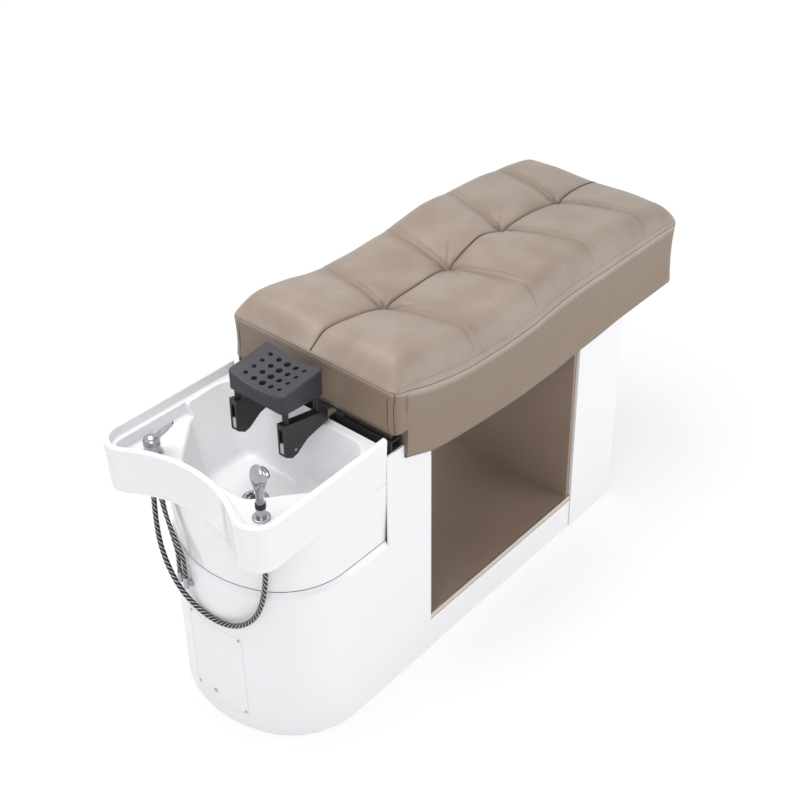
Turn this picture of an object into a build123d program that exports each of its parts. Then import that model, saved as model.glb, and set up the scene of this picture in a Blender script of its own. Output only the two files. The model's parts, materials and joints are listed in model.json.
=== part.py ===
"""Salon hair washing bed: basin column at the head, open cubby, rear leg and a tufted wave cushion.

Frame: +Y towards the foot end, +X the sitter's side, +Z up. Origin on the floor, under the middle.
"""
from build123d import *
from math import atan2, cos, pi, radians, sin, sqrt, tan
import os

os.makedirs("parts", exist_ok=True)

# Driving dimensions of the whole bed, in millimetres
cushion_length = 1290
basin_overhang = 470
body_width = 540
rim_height = 818
cushion_side_step = 10
basin_side_step = 2
horn_side_step = 13
basin_height = 325
overrun = 5
fit_gap = 0.3
shaft_gap = 0.1

head_y = -(basin_overhang + cushion_length) / 2
cushion_head_y = head_y + basin_overhang
half_body = body_width / 2
half_basin = half_body + horn_side_step
half_basin_back = half_body + basin_side_step
half_cushion = half_body + cushion_side_step
column_top = rim_height - basin_height


def finish_part(builder, name):
    """Labels the finished piece and writes it as one STEP file."""
    builder.part.label = name
    export_step(builder.part, "parts/" + name + ".step")


def box_between(x_low, x_high, y_low, y_high, z_low, z_high):
    """A block given by its limits, made apart from any builder."""
    size = (x_high - x_low, y_high - y_low, z_high - z_low)
    centre = ((x_low + x_high) / 2, (y_low + y_high) / 2, (z_low + z_high) / 2)
    return Location(centre) * Box(*size, mode=Mode.PRIVATE)


def tube_between(x_low, x_high, y_low, y_high, z_low, z_high, wall, along):
    """A square steel tube given by its outer limits, hollow along the named axis."""
    outer = box_between(x_low, x_high, y_low, y_high, z_low, z_high)
    in_x = 0 if along == "x" else wall
    in_y = 0 if along == "y" else wall
    in_z = 0 if along == "z" else wall
    inner = box_between(x_low + in_x, x_high - in_x, y_low + in_y, y_high - in_y, z_low + in_z, z_high - in_z)
    return outer - inner


def rod_between(start, end, radius):
    """A round bar from one point to another."""
    axis = Vector(*end) - Vector(*start)
    standing = (Align.CENTER, Align.CENTER, Align.MIN)
    return Plane(origin=start, z_dir=axis) * Cylinder(radius, axis.length, align=standing, mode=Mode.PRIVATE)


def around(centre, angle, radius):
    """The point of a circle at an angle in radians."""
    return (centre[0] + radius * cos(angle), centre[1] + radius * sin(angle))


# Column: a white shell with a rounded nose that tapers towards the floor
nose_setback = 72
column_back_reach = 145
nose_taper = 6
nose_front_radius = 348
nose_corner_radius = 211
column_wall = 5
shoulder_height = 14
shoulder_inset = 10
lip_width = 6
tower_front_reach = -22
tower_drop = 56
tower_step_reach = 42
tower_step_drop = 96
tower_back_drop = 134
tower_top = rim_height - tower_drop
tower_step_top = rim_height - tower_step_drop
tower_back_top = rim_height - tower_back_drop

nose_tip_y = head_y + nose_setback
column_back_y = cushion_head_y + column_back_reach
tower_front_y = cushion_head_y + tower_front_reach


def nose_face(height, inset, taper, back_y):
    """The column's plan: straight flanks, two corner arcs and a flatter front arc."""
    front_centre = (0, nose_tip_y + taper + nose_front_radius)
    corner_x = half_body - nose_corner_radius
    radius_step = nose_front_radius - nose_corner_radius
    corner_y = front_centre[1] - sqrt(radius_step**2 - corner_x**2)
    meet = atan2(corner_y - front_centre[1], corner_x)
    corner_radius = nose_corner_radius - inset
    front_radius = nose_front_radius - inset
    side_x = half_body - inset
    right = (corner_x, corner_y)
    right_meet = around(right, meet, corner_radius)
    right_mid = around(right, meet / 2, corner_radius)
    with BuildSketch(Plane.XY.offset(height)) as plan:
        with BuildLine():
            Line((side_x, back_y), (side_x, corner_y))
            ThreePointArc((side_x, corner_y), right_mid, right_meet)
            ThreePointArc(right_meet, (0, front_centre[1] - front_radius), (-right_meet[0], right_meet[1]))
            ThreePointArc((-right_meet[0], right_meet[1]), (-right_mid[0], right_mid[1]), (-side_x, corner_y))
            Line((-side_x, corner_y), (-side_x, back_y))
            Line((-side_x, back_y), (side_x, back_y))
        make_face()
    return plan.sketch


shoulder_z = column_top - shoulder_height
inner_inset = column_wall
lip_inset = shoulder_inset + lip_width
nose_outer = loft([nose_face(0, 0, nose_taper, tower_front_y), nose_face(shoulder_z, 0, 0, tower_front_y)])
nose_inner = loft(
    [
        nose_face(0, inner_inset, nose_taper, tower_front_y),
        nose_face(shoulder_z, inner_inset, 0, tower_front_y),
    ]
)
shoulder = loft(
    [nose_face(shoulder_z, 0, 0, tower_front_y), nose_face(column_top, shoulder_inset, 0, tower_front_y)]
)
batten_depth = 6
batten_layer = loft(
    [
        nose_face(0, inner_inset + batten_depth, nose_taper, tower_front_y),
        nose_face(shoulder_z, inner_inset + batten_depth, 0, tower_front_y),
    ]
)

inlet_drop = 68
inlet_height = column_top - inlet_drop
panel_width = 190
panel_bottom = 46
panel_inlet_gap = 105
panel_gap = 1
batten_width = 22
panel_reach = 60
panel_y_low = nose_tip_y - overrun
panel_y_high = nose_tip_y + nose_taper + panel_reach
half_panel = panel_width / 2
panel_top = inlet_height - panel_inlet_gap
panel_hole = box_between(-half_panel, half_panel, panel_y_low, panel_y_high, panel_bottom, panel_top)
panel_block = box_between(
    -half_panel + panel_gap,
    half_panel - panel_gap,
    panel_y_low,
    panel_y_high,
    panel_bottom + panel_gap,
    panel_top - panel_gap,
)

# Supply inlets through the nose
inlet_first_x = -62
inlet_spacing = 28
inlet_hole_radius = 9

with BuildPart() as column_shell:
    add(nose_outer)
    add(shoulder)
    add(box_between(-half_body, half_body, tower_front_y, column_back_y, 0, column_top))
    with BuildSketch(Plane.YZ.offset(-half_body)) as tower_side:
        with BuildLine():
            Polyline(
                (tower_front_y, shoulder_z),
                (tower_front_y, tower_top),
                (cushion_head_y + tower_step_reach, tower_top),
                (cushion_head_y + tower_step_reach, tower_step_top),
                (column_back_y, tower_back_top),
                (column_back_y, shoulder_z),
                close=True,
            )
        make_face()
    extrude(amount=body_width)
    add(nose_inner, mode=Mode.SUBTRACT)
    extrude(nose_face(shoulder_z, lip_inset, 0, tower_front_y), amount=shoulder_height, mode=Mode.SUBTRACT)
    inner_x = half_body - column_wall
    add(
        box_between(-inner_x, inner_x, tower_front_y, column_back_y, 0, tower_top + overrun),
        mode=Mode.SUBTRACT,
    )
    for side in (-1, 1):
        batten_x = side * half_panel
        batten = box_between(
            batten_x - batten_width / 2,
            batten_x + batten_width / 2,
            panel_y_low,
            panel_y_high,
            panel_bottom - batten_depth,
            panel_top + batten_depth,
        )
        add((nose_outer - batten_layer) & batten)
    add((nose_outer - nose_inner) & panel_hole, mode=Mode.SUBTRACT)
    for index in range(2):
        inlet_x = inlet_first_x - index * inlet_spacing
        with Locations(Plane(origin=(inlet_x, nose_tip_y, inlet_height), z_dir=(0, 1, 0))):
            Cylinder(inlet_hole_radius, panel_reach, mode=Mode.SUBTRACT)
finish_part(column_shell, "column_shell")

with BuildPart() as service_panel:
    add((nose_outer - nose_inner) & panel_block)
finish_part(service_panel, "service_panel")


def nose_front_y(x, z):
    """Where the nose's outer face stands at a place across and a height."""
    taper = nose_taper * (1 - z / shoulder_z)
    return nose_tip_y + taper + nose_front_radius - sqrt(nose_front_radius**2 - x**2)


screw_head_radius = 4
screw_head_height = 2
screw_inset = 9
latch_x = -13
latch_height = 76
latch_radius = 6
with BuildPart() as panel_screws:
    for screw_x in (-half_panel + screw_inset, half_panel - screw_inset):
        for screw_z in (panel_bottom + screw_inset, panel_top - screw_inset):
            face_y = nose_front_y(screw_x, screw_z)
            normal = Vector(screw_x, face_y - nose_tip_y - nose_front_radius, 0)
            with Locations(Plane(origin=(screw_x, face_y, screw_z), z_dir=normal)):
                Cylinder(screw_head_radius, screw_head_height, align=(Align.CENTER, Align.CENTER, Align.MIN))
    add(service_panel.part, mode=Mode.SUBTRACT)
finish_part(panel_screws, "panel_screws")

with BuildPart() as panel_latch:
    latch_y = nose_front_y(latch_x, latch_height)
    with Locations(Plane(origin=(latch_x, latch_y, latch_height), z_dir=(0, -1, 0))):
        Cylinder(latch_radius, screw_head_height, align=(Align.CENTER, Align.CENTER, Align.MIN))
    add(service_panel.part, mode=Mode.SUBTRACT)
finish_part(panel_latch, "panel_latch")

# Basin: one moulding with two horns, a stylist's cut-out, tap decks and a deep bowl
basin_back_gap = 0.5
cut_radius_share = 1.2367
cut_depth_share = 0.2261
apron_lean = 6
seal_height = 2
apron_depth = 135
rim_width = 16
ledge_depth = 28
ledge_width = 14
deck_depth = 63
bowl_depth = 205
basin_wall = 7
skirt_inset = 11
horn_hollow_reach = 170

basin_back_y = tower_front_y - basin_back_gap
cut_radius = half_basin * cut_radius_share
cut_depth = half_basin * cut_depth_share
skirt_bottom_z = column_top + seal_height
ledge_z = rim_height - ledge_depth
deck_z = rim_height - deck_depth
deck_under_z = deck_z - basin_wall
bowl_floor_z = rim_height - bowl_depth
apron_z = rim_height - apron_depth


def rim_face(height, inset, back_y):
    """The basin's plan from above: straight sides, two round horns and a concave cut between them."""
    centre_rise = cut_radius - cut_depth
    span = half_basin + cut_depth
    horn_radius = span - sqrt(span**2 - (half_basin**2 + centre_rise**2 - cut_radius**2))
    horn = (half_basin - horn_radius, head_y + horn_radius)
    cut_centre_y = head_y - centre_rise
    meet = atan2(cut_centre_y - horn[1], -horn[0])
    radius = horn_radius - inset
    side_x = half_basin - inset
    back_x = half_basin_back - inset
    right_mid = around(horn, meet / 2, radius)
    right_meet = around(horn, meet, radius)
    cut_y = cut_centre_y + cut_radius + inset
    with BuildSketch(Plane.XY.offset(height)) as plan:
        with BuildLine():
            Line((back_x, back_y), (side_x, horn[1]))
            ThreePointArc((side_x, horn[1]), right_mid, right_meet)
            ThreePointArc(right_meet, (0, cut_y), (-right_meet[0], right_meet[1]))
            ThreePointArc((-right_meet[0], right_meet[1]), (-right_mid[0], right_mid[1]), (-side_x, horn[1]))
            Line((-side_x, horn[1]), (-back_x, back_y))
            Line((-back_x, back_y), (back_x, back_y))
        make_face()
    return plan.sketch


tap_inset = 95
nut_wall_gap = 0.44
lock_nut_radius = 23
lock_nut_height = 8
ledge_land = 2
bowl_side_slope = 92
bowl_top_back = 48
bowl_top_setback = 118
bowl_top_share = 0.516
bowl_top_nose_gap = 71
bowl_nose_slope = 34
bowl_floor_back = 90
bowl_floor_setback = 152
bowl_floor_share = 0.623
bowl_top_corner = 56
bowl_floor_corner = 42
bowl_floor_round = 26
tap_x = half_basin - tap_inset
nose_corner_x = half_body - nose_corner_radius
nose_corner_step = sqrt((nose_front_radius - nose_corner_radius) ** 2 - nose_corner_x**2)
nose_corner_y = nose_tip_y + nose_front_radius - nose_corner_step
arcs_meet_x = nose_corner_x * nose_front_radius / (nose_front_radius - nose_corner_radius)
corner_arc = (nose_corner_x, nose_corner_y, nose_corner_radius)
front_arc = (0, nose_tip_y + nose_front_radius, nose_front_radius)
arc_x, arc_y, arc_radius = front_arc if tap_x < arcs_meet_x else corner_arc
nut_reach = arc_radius - basin_side_step + lock_nut_radius + nut_wall_gap
tap_y = arc_y - sqrt(nut_reach**2 - (tap_x - arc_x) ** 2)
bowl_top_half = half_basin_back - rim_width - ledge_width - ledge_land
bowl_floor_half = bowl_top_half - bowl_side_slope
bowl_top_nose = tap_x - bowl_top_nose_gap
bowl_floor_nose = bowl_top_nose - bowl_nose_slope
bowl_top_front = basin_overhang - bowl_top_setback
bowl_floor_front = basin_overhang - bowl_floor_setback
bowl_top_turn = bowl_top_back + (bowl_top_front - bowl_top_back) * bowl_top_share
bowl_floor_turn = bowl_floor_back + (bowl_floor_front - bowl_floor_back) * bowl_floor_share


def bowl_face(height, half, back, turn, front, nose, corner, grow):
    """One level of the bowl: wide at the neck, narrowing between the two tap decks."""
    with BuildSketch(Plane.XY.offset(height)) as plan:
        with BuildLine():
            Polyline(
                (half + grow, cushion_head_y - back + grow),
                (half + grow, cushion_head_y - turn),
                (nose + grow, cushion_head_y - front - grow),
                (-nose - grow, cushion_head_y - front - grow),
                (-half - grow, cushion_head_y - turn),
                (-half - grow, cushion_head_y - back + grow),
                close=True,
            )
        make_face()
        fillet(plan.vertices(), corner + grow)
    return plan.sketch


def bowl_form(grow):
    """The bowl's cavity, or with a wall's growth the outside of its wall."""
    top = (bowl_top_half, bowl_top_back, bowl_top_turn, bowl_top_front, bowl_top_nose, bowl_top_corner)
    floor_plan = (bowl_floor_half, bowl_floor_back, bowl_floor_turn, bowl_floor_front, bowl_floor_nose)
    floor_level = bowl_face(bowl_floor_z - grow, *floor_plan, bowl_floor_corner, grow)
    form = loft([floor_level, bowl_face(ledge_z, *top, grow)])
    return fillet(form.faces().sort_by(Axis.Z)[0].edges(), bowl_floor_round + grow)


def deck_face(height):
    """The tap decks' plan: inside the ledge, at the head end only."""
    with BuildSketch(Plane.XY.offset(height)) as plan:
        add(rim_face(height, rim_width + ledge_width, basin_back_y))
        with Locations((0, cushion_head_y - bowl_top_turn)):
            Rectangle(body_width, body_width, align=(Align.CENTER, Align.MAX), mode=Mode.INTERSECT)
    return plan.sketch


mixer_shank_radius = 16
holder_radius = 12
hole_clearance = 1
drain_share = 0.548
drain_y = cushion_head_y - bowl_floor_back - (bowl_floor_front - bowl_floor_back) * drain_share
drain_hole_radius = 25
rim_round = 6
rim_inner_round = 5
step_round = 10
ledge_round = 4
deck_round = 6
edge_tolerance = 0.1
step_y = cushion_head_y - bowl_top_turn
inner_half = half_basin - rim_width


def level_edges(solid, height, belongs):
    """The edges that lie level at a height and that belong to the wanted run."""
    found = []
    for edge in solid.edges():
        box = edge.bounding_box()
        if max(abs(box.min.Z - height), abs(box.max.Z - height)) < edge_tolerance and belongs(box):
            found.append(edge)
    return found


def side_reach(box):
    """How far an edge's box reaches from the middle plane."""
    return max(abs(box.min.X), abs(box.max.X))


def on_step(box):
    """The edge of the step between a ledge and its tap deck."""
    return max(abs(box.min.Y - step_y), abs(box.max.Y - step_y)) < edge_tolerance


def bowl_beside_deck(box):
    """The bowl's mouth, as far as it meets the tap decks."""
    return box.min.Y > tap_y and not on_step(box)


def bowl_beside_ledge(box):
    """The bowl's mouth, as far as it meets the ledge."""
    behind_step = step_y - edge_tolerance < box.min.Y and box.max.Y < basin_back_y - overrun
    return behind_step and side_reach(box) < bowl_top_half + edge_tolerance


def rim_inside(box):
    """The inner edge of the rim's top."""
    beside = abs(side_reach(box) - inner_half) < edge_tolerance
    in_front = abs(box.max.Y - head_y - cut_depth - rim_width) < edge_tolerance
    return beside or in_front


def deck_outline(box):
    """The foot of the wall round the tap decks."""
    return box.min.Y < tap_y


def deck_rim(box):
    """The edge where the ledge drops to the tap decks."""
    inside = head_y + rim_width + ledge_width - edge_tolerance < box.min.Y < tap_y
    return inside and side_reach(box) < inner_half - edge_tolerance


bowl_cavity = bowl_form(0)
bowl_outside = bowl_form(basin_wall)
skirt_outer = loft(
    [
        nose_face(skirt_bottom_z, skirt_inset, 0, basin_back_y),
        nose_face(apron_z, basin_side_step, 0, basin_back_y),
    ]
)
skirt_inner = loft(
    [
        nose_face(skirt_bottom_z, skirt_inset + basin_wall, 0, basin_back_y - basin_wall),
        nose_face(apron_z, basin_side_step + basin_wall, 0, basin_back_y - basin_wall),
    ]
)
neck_face = nose_face(apron_z, basin_side_step, 0, basin_back_y)
hollow_face = nose_face(apron_z, basin_side_step + basin_wall, 0, basin_back_y - basin_wall)
apron_form = loft([rim_face(apron_z, apron_lean, basin_back_y), rim_face(rim_height, 0, basin_back_y)])
horn_back_y = head_y + horn_hollow_reach
horn_hollow = loft(
    [
        rim_face(apron_z, apron_lean + basin_wall, horn_back_y),
        rim_face(deck_under_z, apron_lean / 2 + basin_wall, horn_back_y),
    ]
)
horn_hollow -= extrude(neck_face, amount=deck_under_z - apron_z)

with BuildPart() as basin:
    add(apron_form)
    top_face = basin.faces().sort_by(Axis.Z)[-1]
    fillet(top_face.edges().filter_by(lambda edge: edge.center().Y < basin_back_y - overrun), rim_round)
    extrude(hollow_face, amount=deck_under_z - apron_z, mode=Mode.SUBTRACT)
    add(horn_hollow, mode=Mode.SUBTRACT)
    add(bowl_outside)
    extrude(
        rim_face(ledge_z, rim_width, basin_back_y + overrun), amount=ledge_depth + overrun, mode=Mode.SUBTRACT
    )
    extrude(deck_face(deck_z), amount=deck_depth, mode=Mode.SUBTRACT)
    add(bowl_cavity, mode=Mode.SUBTRACT)
    fillet(level_edges(basin, ledge_z, on_step), step_round)
    fillet(level_edges(basin, deck_z, bowl_beside_deck), step_round)
    fillet(level_edges(basin, ledge_z, bowl_beside_ledge), ledge_round)
    fillet(level_edges(basin, rim_height, rim_inside), rim_inner_round)
    fillet(level_edges(basin, deck_z, deck_outline), deck_round)
    fillet(level_edges(basin, ledge_z, deck_rim), ledge_round)
    with Locations((-tap_x, tap_y, deck_z)):
        Cylinder(mixer_shank_radius + hole_clearance, deck_depth, mode=Mode.SUBTRACT)
    with Locations((tap_x, tap_y, deck_z)):
        Cylinder(holder_radius + hole_clearance, deck_depth, mode=Mode.SUBTRACT)
    with Locations((0, drain_y, bowl_floor_z)):
        Cylinder(drain_hole_radius, deck_depth, mode=Mode.SUBTRACT)
finish_part(basin, "basin")

with BuildPart() as basin_skirt:
    add(skirt_outer)
    add(skirt_inner, mode=Mode.SUBTRACT)
finish_part(basin_skirt, "basin_skirt")

with BuildPart() as basin_seal:
    extrude(nose_face(column_top, skirt_inset, 0, basin_back_y), amount=seal_height)
    seal_inner = nose_face(column_top, skirt_inset + basin_wall, 0, basin_back_y - basin_wall)
    extrude(seal_inner, amount=seal_height, mode=Mode.SUBTRACT)
finish_part(basin_seal, "basin_seal")

# Drain: flange and strainer in the bowl, nut and bottle trap below, waste pipe to the floor
drain_wall = 3
flange_radius = 35
flange_height = 3
drain_tail = 24
strainer_radius = 20.5
strainer_step_radius = 17
strainer_height = 2.5
strainer_seat = 3
strainer_knob_radius = 4
strainer_knob_height = 7
strainer_ring_radius = 12
strainer_hole_radius = 2.2
drain_nut_radius = 34
drain_nut_height = 9
drain_radius = drain_hole_radius - hole_clearance
drain_bore = drain_radius - drain_wall
floor_under_z = bowl_floor_z - basin_wall

with BuildPart() as drain_flange:
    with BuildSketch(Plane.XZ.offset(-drain_y)) as flange_half:
        with BuildLine():
            Polyline(
                (strainer_step_radius, floor_under_z - drain_tail),
                (drain_radius, floor_under_z - drain_tail),
                (drain_radius, bowl_floor_z),
                (flange_radius, bowl_floor_z),
                (flange_radius, bowl_floor_z + flange_height / 2),
                (drain_radius, bowl_floor_z + flange_height),
                (drain_bore, bowl_floor_z + flange_height / 2),
                (drain_bore, bowl_floor_z - strainer_seat),
                (strainer_step_radius, bowl_floor_z - strainer_seat),
                close=True,
            )
        make_face()
    revolve(axis=Axis((0, drain_y, 0), (0, 0, 1)))
finish_part(drain_flange, "drain_flange")

with BuildPart() as drain_strainer:
    with Locations((0, drain_y, bowl_floor_z - strainer_seat + fit_gap)):
        Cylinder(strainer_radius, strainer_height, align=(Align.CENTER, Align.CENTER, Align.MIN))
        with PolarLocations(strainer_ring_radius, 10):
            Cylinder(strainer_hole_radius, strainer_height * 4, mode=Mode.SUBTRACT)
        knob_height = strainer_height + strainer_knob_height
        Cylinder(strainer_knob_radius, knob_height, align=(Align.CENTER, Align.CENTER, Align.MIN))
finish_part(drain_strainer, "drain_strainer")

with BuildPart() as drain_nut:
    with BuildSketch(Plane.XY.offset(floor_under_z - drain_nut_height)):
        with Locations((0, drain_y)):
            RegularPolygon(drain_nut_radius, 8)
            Circle(drain_radius, mode=Mode.SUBTRACT)
    extrude(amount=drain_nut_height)
finish_part(drain_nut, "drain_nut")

trap_neck_radius = 21
trap_radius = 38
trap_height = 105
trap_neck_height = 50
trap_wall = 2.5
waste_radius = 20
waste_drop_reach = 60
waste_bend = 45
waste_outlet_z = 15
trap_top_z = floor_under_z - drain_tail - trap_neck_height
waste_z = trap_top_z - waste_radius - waste_radius / 2
waste_y = cushion_head_y - waste_drop_reach
with BuildPart() as bottle_trap:
    with Locations((0, drain_y, trap_top_z)):
        Cylinder(trap_neck_radius, trap_neck_height, align=(Align.CENTER, Align.CENTER, Align.MIN))
        Cylinder(trap_radius, trap_height, align=(Align.CENTER, Align.CENTER, Align.MAX))
    fillet(bottle_trap.faces().sort_by(Axis.Z)[0].edges(), trap_wall * 4)
    with Locations((0, drain_y, trap_top_z - trap_height + trap_wall)):
        Cylinder(
            trap_neck_radius - trap_wall,
            trap_height + trap_neck_height + trap_wall,
            align=(Align.CENTER, Align.CENTER, Align.MIN),
            mode=Mode.SUBTRACT,
        )
finish_part(bottle_trap, "bottle_trap")

bend_start_y = waste_y - waste_bend
bend_end_z = waste_z - waste_bend
waste_drop = bend_end_z - waste_outlet_z
bend_middle = (0, bend_start_y + waste_bend * sin(pi / 4), bend_end_z + waste_bend * cos(pi / 4))
with BuildPart() as waste_pipe:
    with BuildLine() as waste_path:
        Line((0, drain_y + trap_radius, waste_z), (0, bend_start_y, waste_z))
        ThreePointArc((0, bend_start_y, waste_z), bend_middle, (0, waste_y, bend_end_z))
    with BuildSketch(Plane(origin=(0, drain_y + trap_radius, waste_z), z_dir=(0, 1, 0))):
        Circle(waste_radius)
        Circle(waste_radius - trap_wall, mode=Mode.SUBTRACT)
    sweep(path=waste_path.line)
    with BuildSketch(Plane.XY.offset(waste_outlet_z)) as waste_ring:
        with Locations((0, waste_y)):
            Circle(waste_radius)
            Circle(waste_radius - trap_wall, mode=Mode.SUBTRACT)
    extrude(waste_ring.sketch, amount=waste_drop)
finish_part(waste_pipe, "waste_pipe")

# Mixer tap on the far deck: the dome swivels on the body and the lever lifts over the dome
mixer_ring_radius = 26
mixer_ring_height = 4
mixer_radius = 21
mixer_body_height = 26
mixer_shank_drop = 44
nipple_radius = 4
nipple_height = 4
dome_radius = 19.5
dome_rise = 2
dome_stem_radius = 6
dome_stem_length = 14
lever_wall = 2.6
lever_rim_rise = 7
lever_turn = 37
lever_gap = 0.4

mixer_x = -tap_x
ring_top_z = deck_z + mixer_ring_height
mixer_top_z = ring_top_z + mixer_body_height
shank_end_z = deck_under_z - mixer_shank_drop
dome_z = mixer_top_z + dome_rise

with BuildPart() as mixer_base_ring:
    with Locations((mixer_x, tap_y, deck_z)):
        Cylinder(mixer_ring_radius, mixer_ring_height, align=(Align.CENTER, Align.CENTER, Align.MIN))
    fillet(mixer_base_ring.faces().sort_by(Axis.Z)[-1].edges(), mixer_ring_height / 2)
    with Locations((mixer_x, tap_y, deck_z)):
        Cylinder(mixer_shank_radius + fit_gap, mixer_ring_height * 4, mode=Mode.SUBTRACT)
finish_part(mixer_base_ring, "mixer_base_ring")

# Under-deck ends of the three hoses, as offsets from the mixer's axis
shower_outlet = (-8, -8)
cold_outlet = (11, -3)
hot_outlet = (-1, 11)
outlets = (shower_outlet, cold_outlet, hot_outlet)

with BuildPart() as mixer_body:
    with Locations((mixer_x, tap_y, ring_top_z)):
        Cylinder(mixer_radius, mixer_body_height, align=(Align.CENTER, Align.CENTER, Align.MIN))
    chamfer(mixer_body.faces().sort_by(Axis.Z)[-1].edges(), fit_gap * 2)
    with Locations((mixer_x, tap_y, shank_end_z)):
        Cylinder(mixer_shank_radius, ring_top_z - shank_end_z, align=(Align.CENTER, Align.CENTER, Align.MIN))
    for outlet in outlets:
        with Locations((mixer_x + outlet[0], tap_y + outlet[1], shank_end_z)):
            Cylinder(nipple_radius, nipple_height, align=(Align.CENTER, Align.CENTER, Align.MAX))
    with Locations((mixer_x, tap_y, mixer_top_z - dome_stem_length - fit_gap)):
        Cylinder(
            dome_stem_radius + shaft_gap,
            dome_stem_length * 2,
            align=(Align.CENTER, Align.CENTER, Align.MIN),
            mode=Mode.SUBTRACT,
        )
finish_part(mixer_body, "mixer_body")

with BuildPart() as mixer_dome:
    with Locations((mixer_x, tap_y, dome_z)):
        Sphere(dome_radius)
    split(bisect_by=Plane.XY.offset(mixer_top_z + fit_gap), keep=Keep.TOP)
    with Locations((mixer_x, tap_y, mixer_top_z - dome_stem_length)):
        stem_length = dome_stem_length + dome_rise
        Cylinder(dome_stem_radius, stem_length, align=(Align.CENTER, Align.CENTER, Align.MIN))
finish_part(mixer_dome, "mixer_dome")

# The lever's blade, as places along its reach and rise from the dome's centre, with widths and thicknesses
blade_reaches = (12, 26, 40, 52, 58)
blade_rises = (14, 29, 42, 55, 62)
blade_widths = (30, 21, 19, 19, 11)
blade_thicknesses = (22, 12, 8, 6, 4)
blade_lean = 45
turn = radians(lever_turn)
blade_faces = []
for reach, rise, width, thickness in zip(blade_reaches, blade_rises, blade_widths, blade_thicknesses):
    lean = radians(blade_lean)
    along = (cos(lean) * cos(turn), cos(lean) * sin(turn), sin(lean))
    place = (mixer_x + reach * cos(turn), tap_y + reach * sin(turn), dome_z + rise)
    with BuildSketch(Plane(origin=place, x_dir=(-sin(turn), cos(turn), 0), z_dir=along)) as blade_section:
        Ellipse(width / 2, thickness / 2)
    blade_faces.append(blade_section.sketch)
blade = loft(blade_faces)

with BuildPart() as mixer_lever:
    with Locations((mixer_x, tap_y, dome_z)):
        Sphere(dome_radius + lever_gap + lever_wall)
    split(bisect_by=Plane.XY.offset(dome_z + lever_rim_rise), keep=Keep.TOP)
    add(blade)
    with Locations((mixer_x, tap_y, dome_z)):
        Sphere(dome_radius + lever_gap, mode=Mode.SUBTRACT)
finish_part(mixer_lever, "mixer_lever")

# Hand shower in its holder on the near deck
holder_flange_radius = 22
holder_flange_height = 5
holder_height = 30
guide_drop = 108
hose_radius = 7
hose_clearance = 0.75
holder_nut_radius = 20
collar_radius = 13
collar_height = 15
holder_top_z = deck_z + holder_height
guide_end_z = deck_under_z - guide_drop

with BuildPart() as handset_holder:
    with Locations((tap_x, tap_y, deck_z)):
        Cylinder(holder_flange_radius, holder_flange_height, align=(Align.CENTER, Align.CENTER, Align.MIN))
    fillet(handset_holder.faces().sort_by(Axis.Z)[-1].edges(), holder_flange_height / 2)
    with Locations((tap_x, tap_y, guide_end_z)):
        Cylinder(holder_radius, holder_top_z - guide_end_z, align=(Align.CENTER, Align.CENTER, Align.MIN))
        Cylinder(hose_radius + hose_clearance, (holder_top_z - guide_end_z) * 4, mode=Mode.SUBTRACT)
finish_part(handset_holder, "handset_holder")

with BuildPart() as lock_nuts:
    with BuildSketch(Plane.XY.offset(deck_under_z - lock_nut_height)):
        with Locations((mixer_x, tap_y)):
            RegularPolygon(lock_nut_radius, 6)
            Circle(mixer_shank_radius, mode=Mode.SUBTRACT)
        with Locations((tap_x, tap_y)):
            RegularPolygon(holder_nut_radius, 6)
            Circle(holder_radius, mode=Mode.SUBTRACT)
    extrude(amount=lock_nut_height)
finish_part(lock_nuts, "lock_nuts")

with BuildPart() as hose_in_guide:
    with Locations((tap_x, tap_y, guide_end_z + fit_gap)):
        Cylinder(
            hose_radius, holder_top_z - guide_end_z, align=(Align.CENTER, Align.CENTER, Align.MIN)
        )
finish_part(hose_in_guide, "hose_in_guide")

collar_z = holder_top_z + fit_gap
with BuildPart() as handset_collar:
    with Locations((tap_x, tap_y, collar_z)):
        Cylinder(collar_radius, collar_height, align=(Align.CENTER, Align.CENTER, Align.MIN))
    fillet(handset_collar.edges().filter_by(GeomType.CIRCLE), collar_height / 8)
finish_part(handset_collar, "handset_collar")

# The handset's shell, level by level above the collar: height, half width and half thickness
handset_heights = (0, 14, 30, 50, 72, 92, 105)
handset_half_widths = (11, 9.5, 12, 19, 23.5, 20, 8)
handset_half_depths = (11, 9.5, 10, 13, 15, 12, 5)
handset_z = collar_z + collar_height
spray_radius = 17
spray_height = 74
spray_depth = 4
spray_reach = 17
handset_faces = []
for level, half_width, half_depth in zip(handset_heights, handset_half_widths, handset_half_depths):
    with BuildSketch(Plane.XY.offset(handset_z + level)) as handset_section:
        with Locations((tap_x, tap_y)):
            Ellipse(half_width, half_depth)
    handset_faces.append(handset_section.sketch)
with BuildPart() as handset:
    loft(handset_faces)
    with Locations(Plane(origin=(tap_x, tap_y, handset_z + spray_height), z_dir=(0, 1, 0))):
        Cylinder(spray_radius, spray_reach, align=(Align.CENTER, Align.CENTER, Align.MIN))
finish_part(handset, "handset")

with BuildPart() as spray_face:
    with Locations(Plane(origin=(tap_x, tap_y + spray_reach, handset_z + spray_height), z_dir=(0, 1, 0))):
        Cylinder(spray_radius - hole_clearance, spray_depth, align=(Align.CENTER, Align.CENTER, Align.MIN))
finish_part(spray_face, "spray_face")

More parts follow.
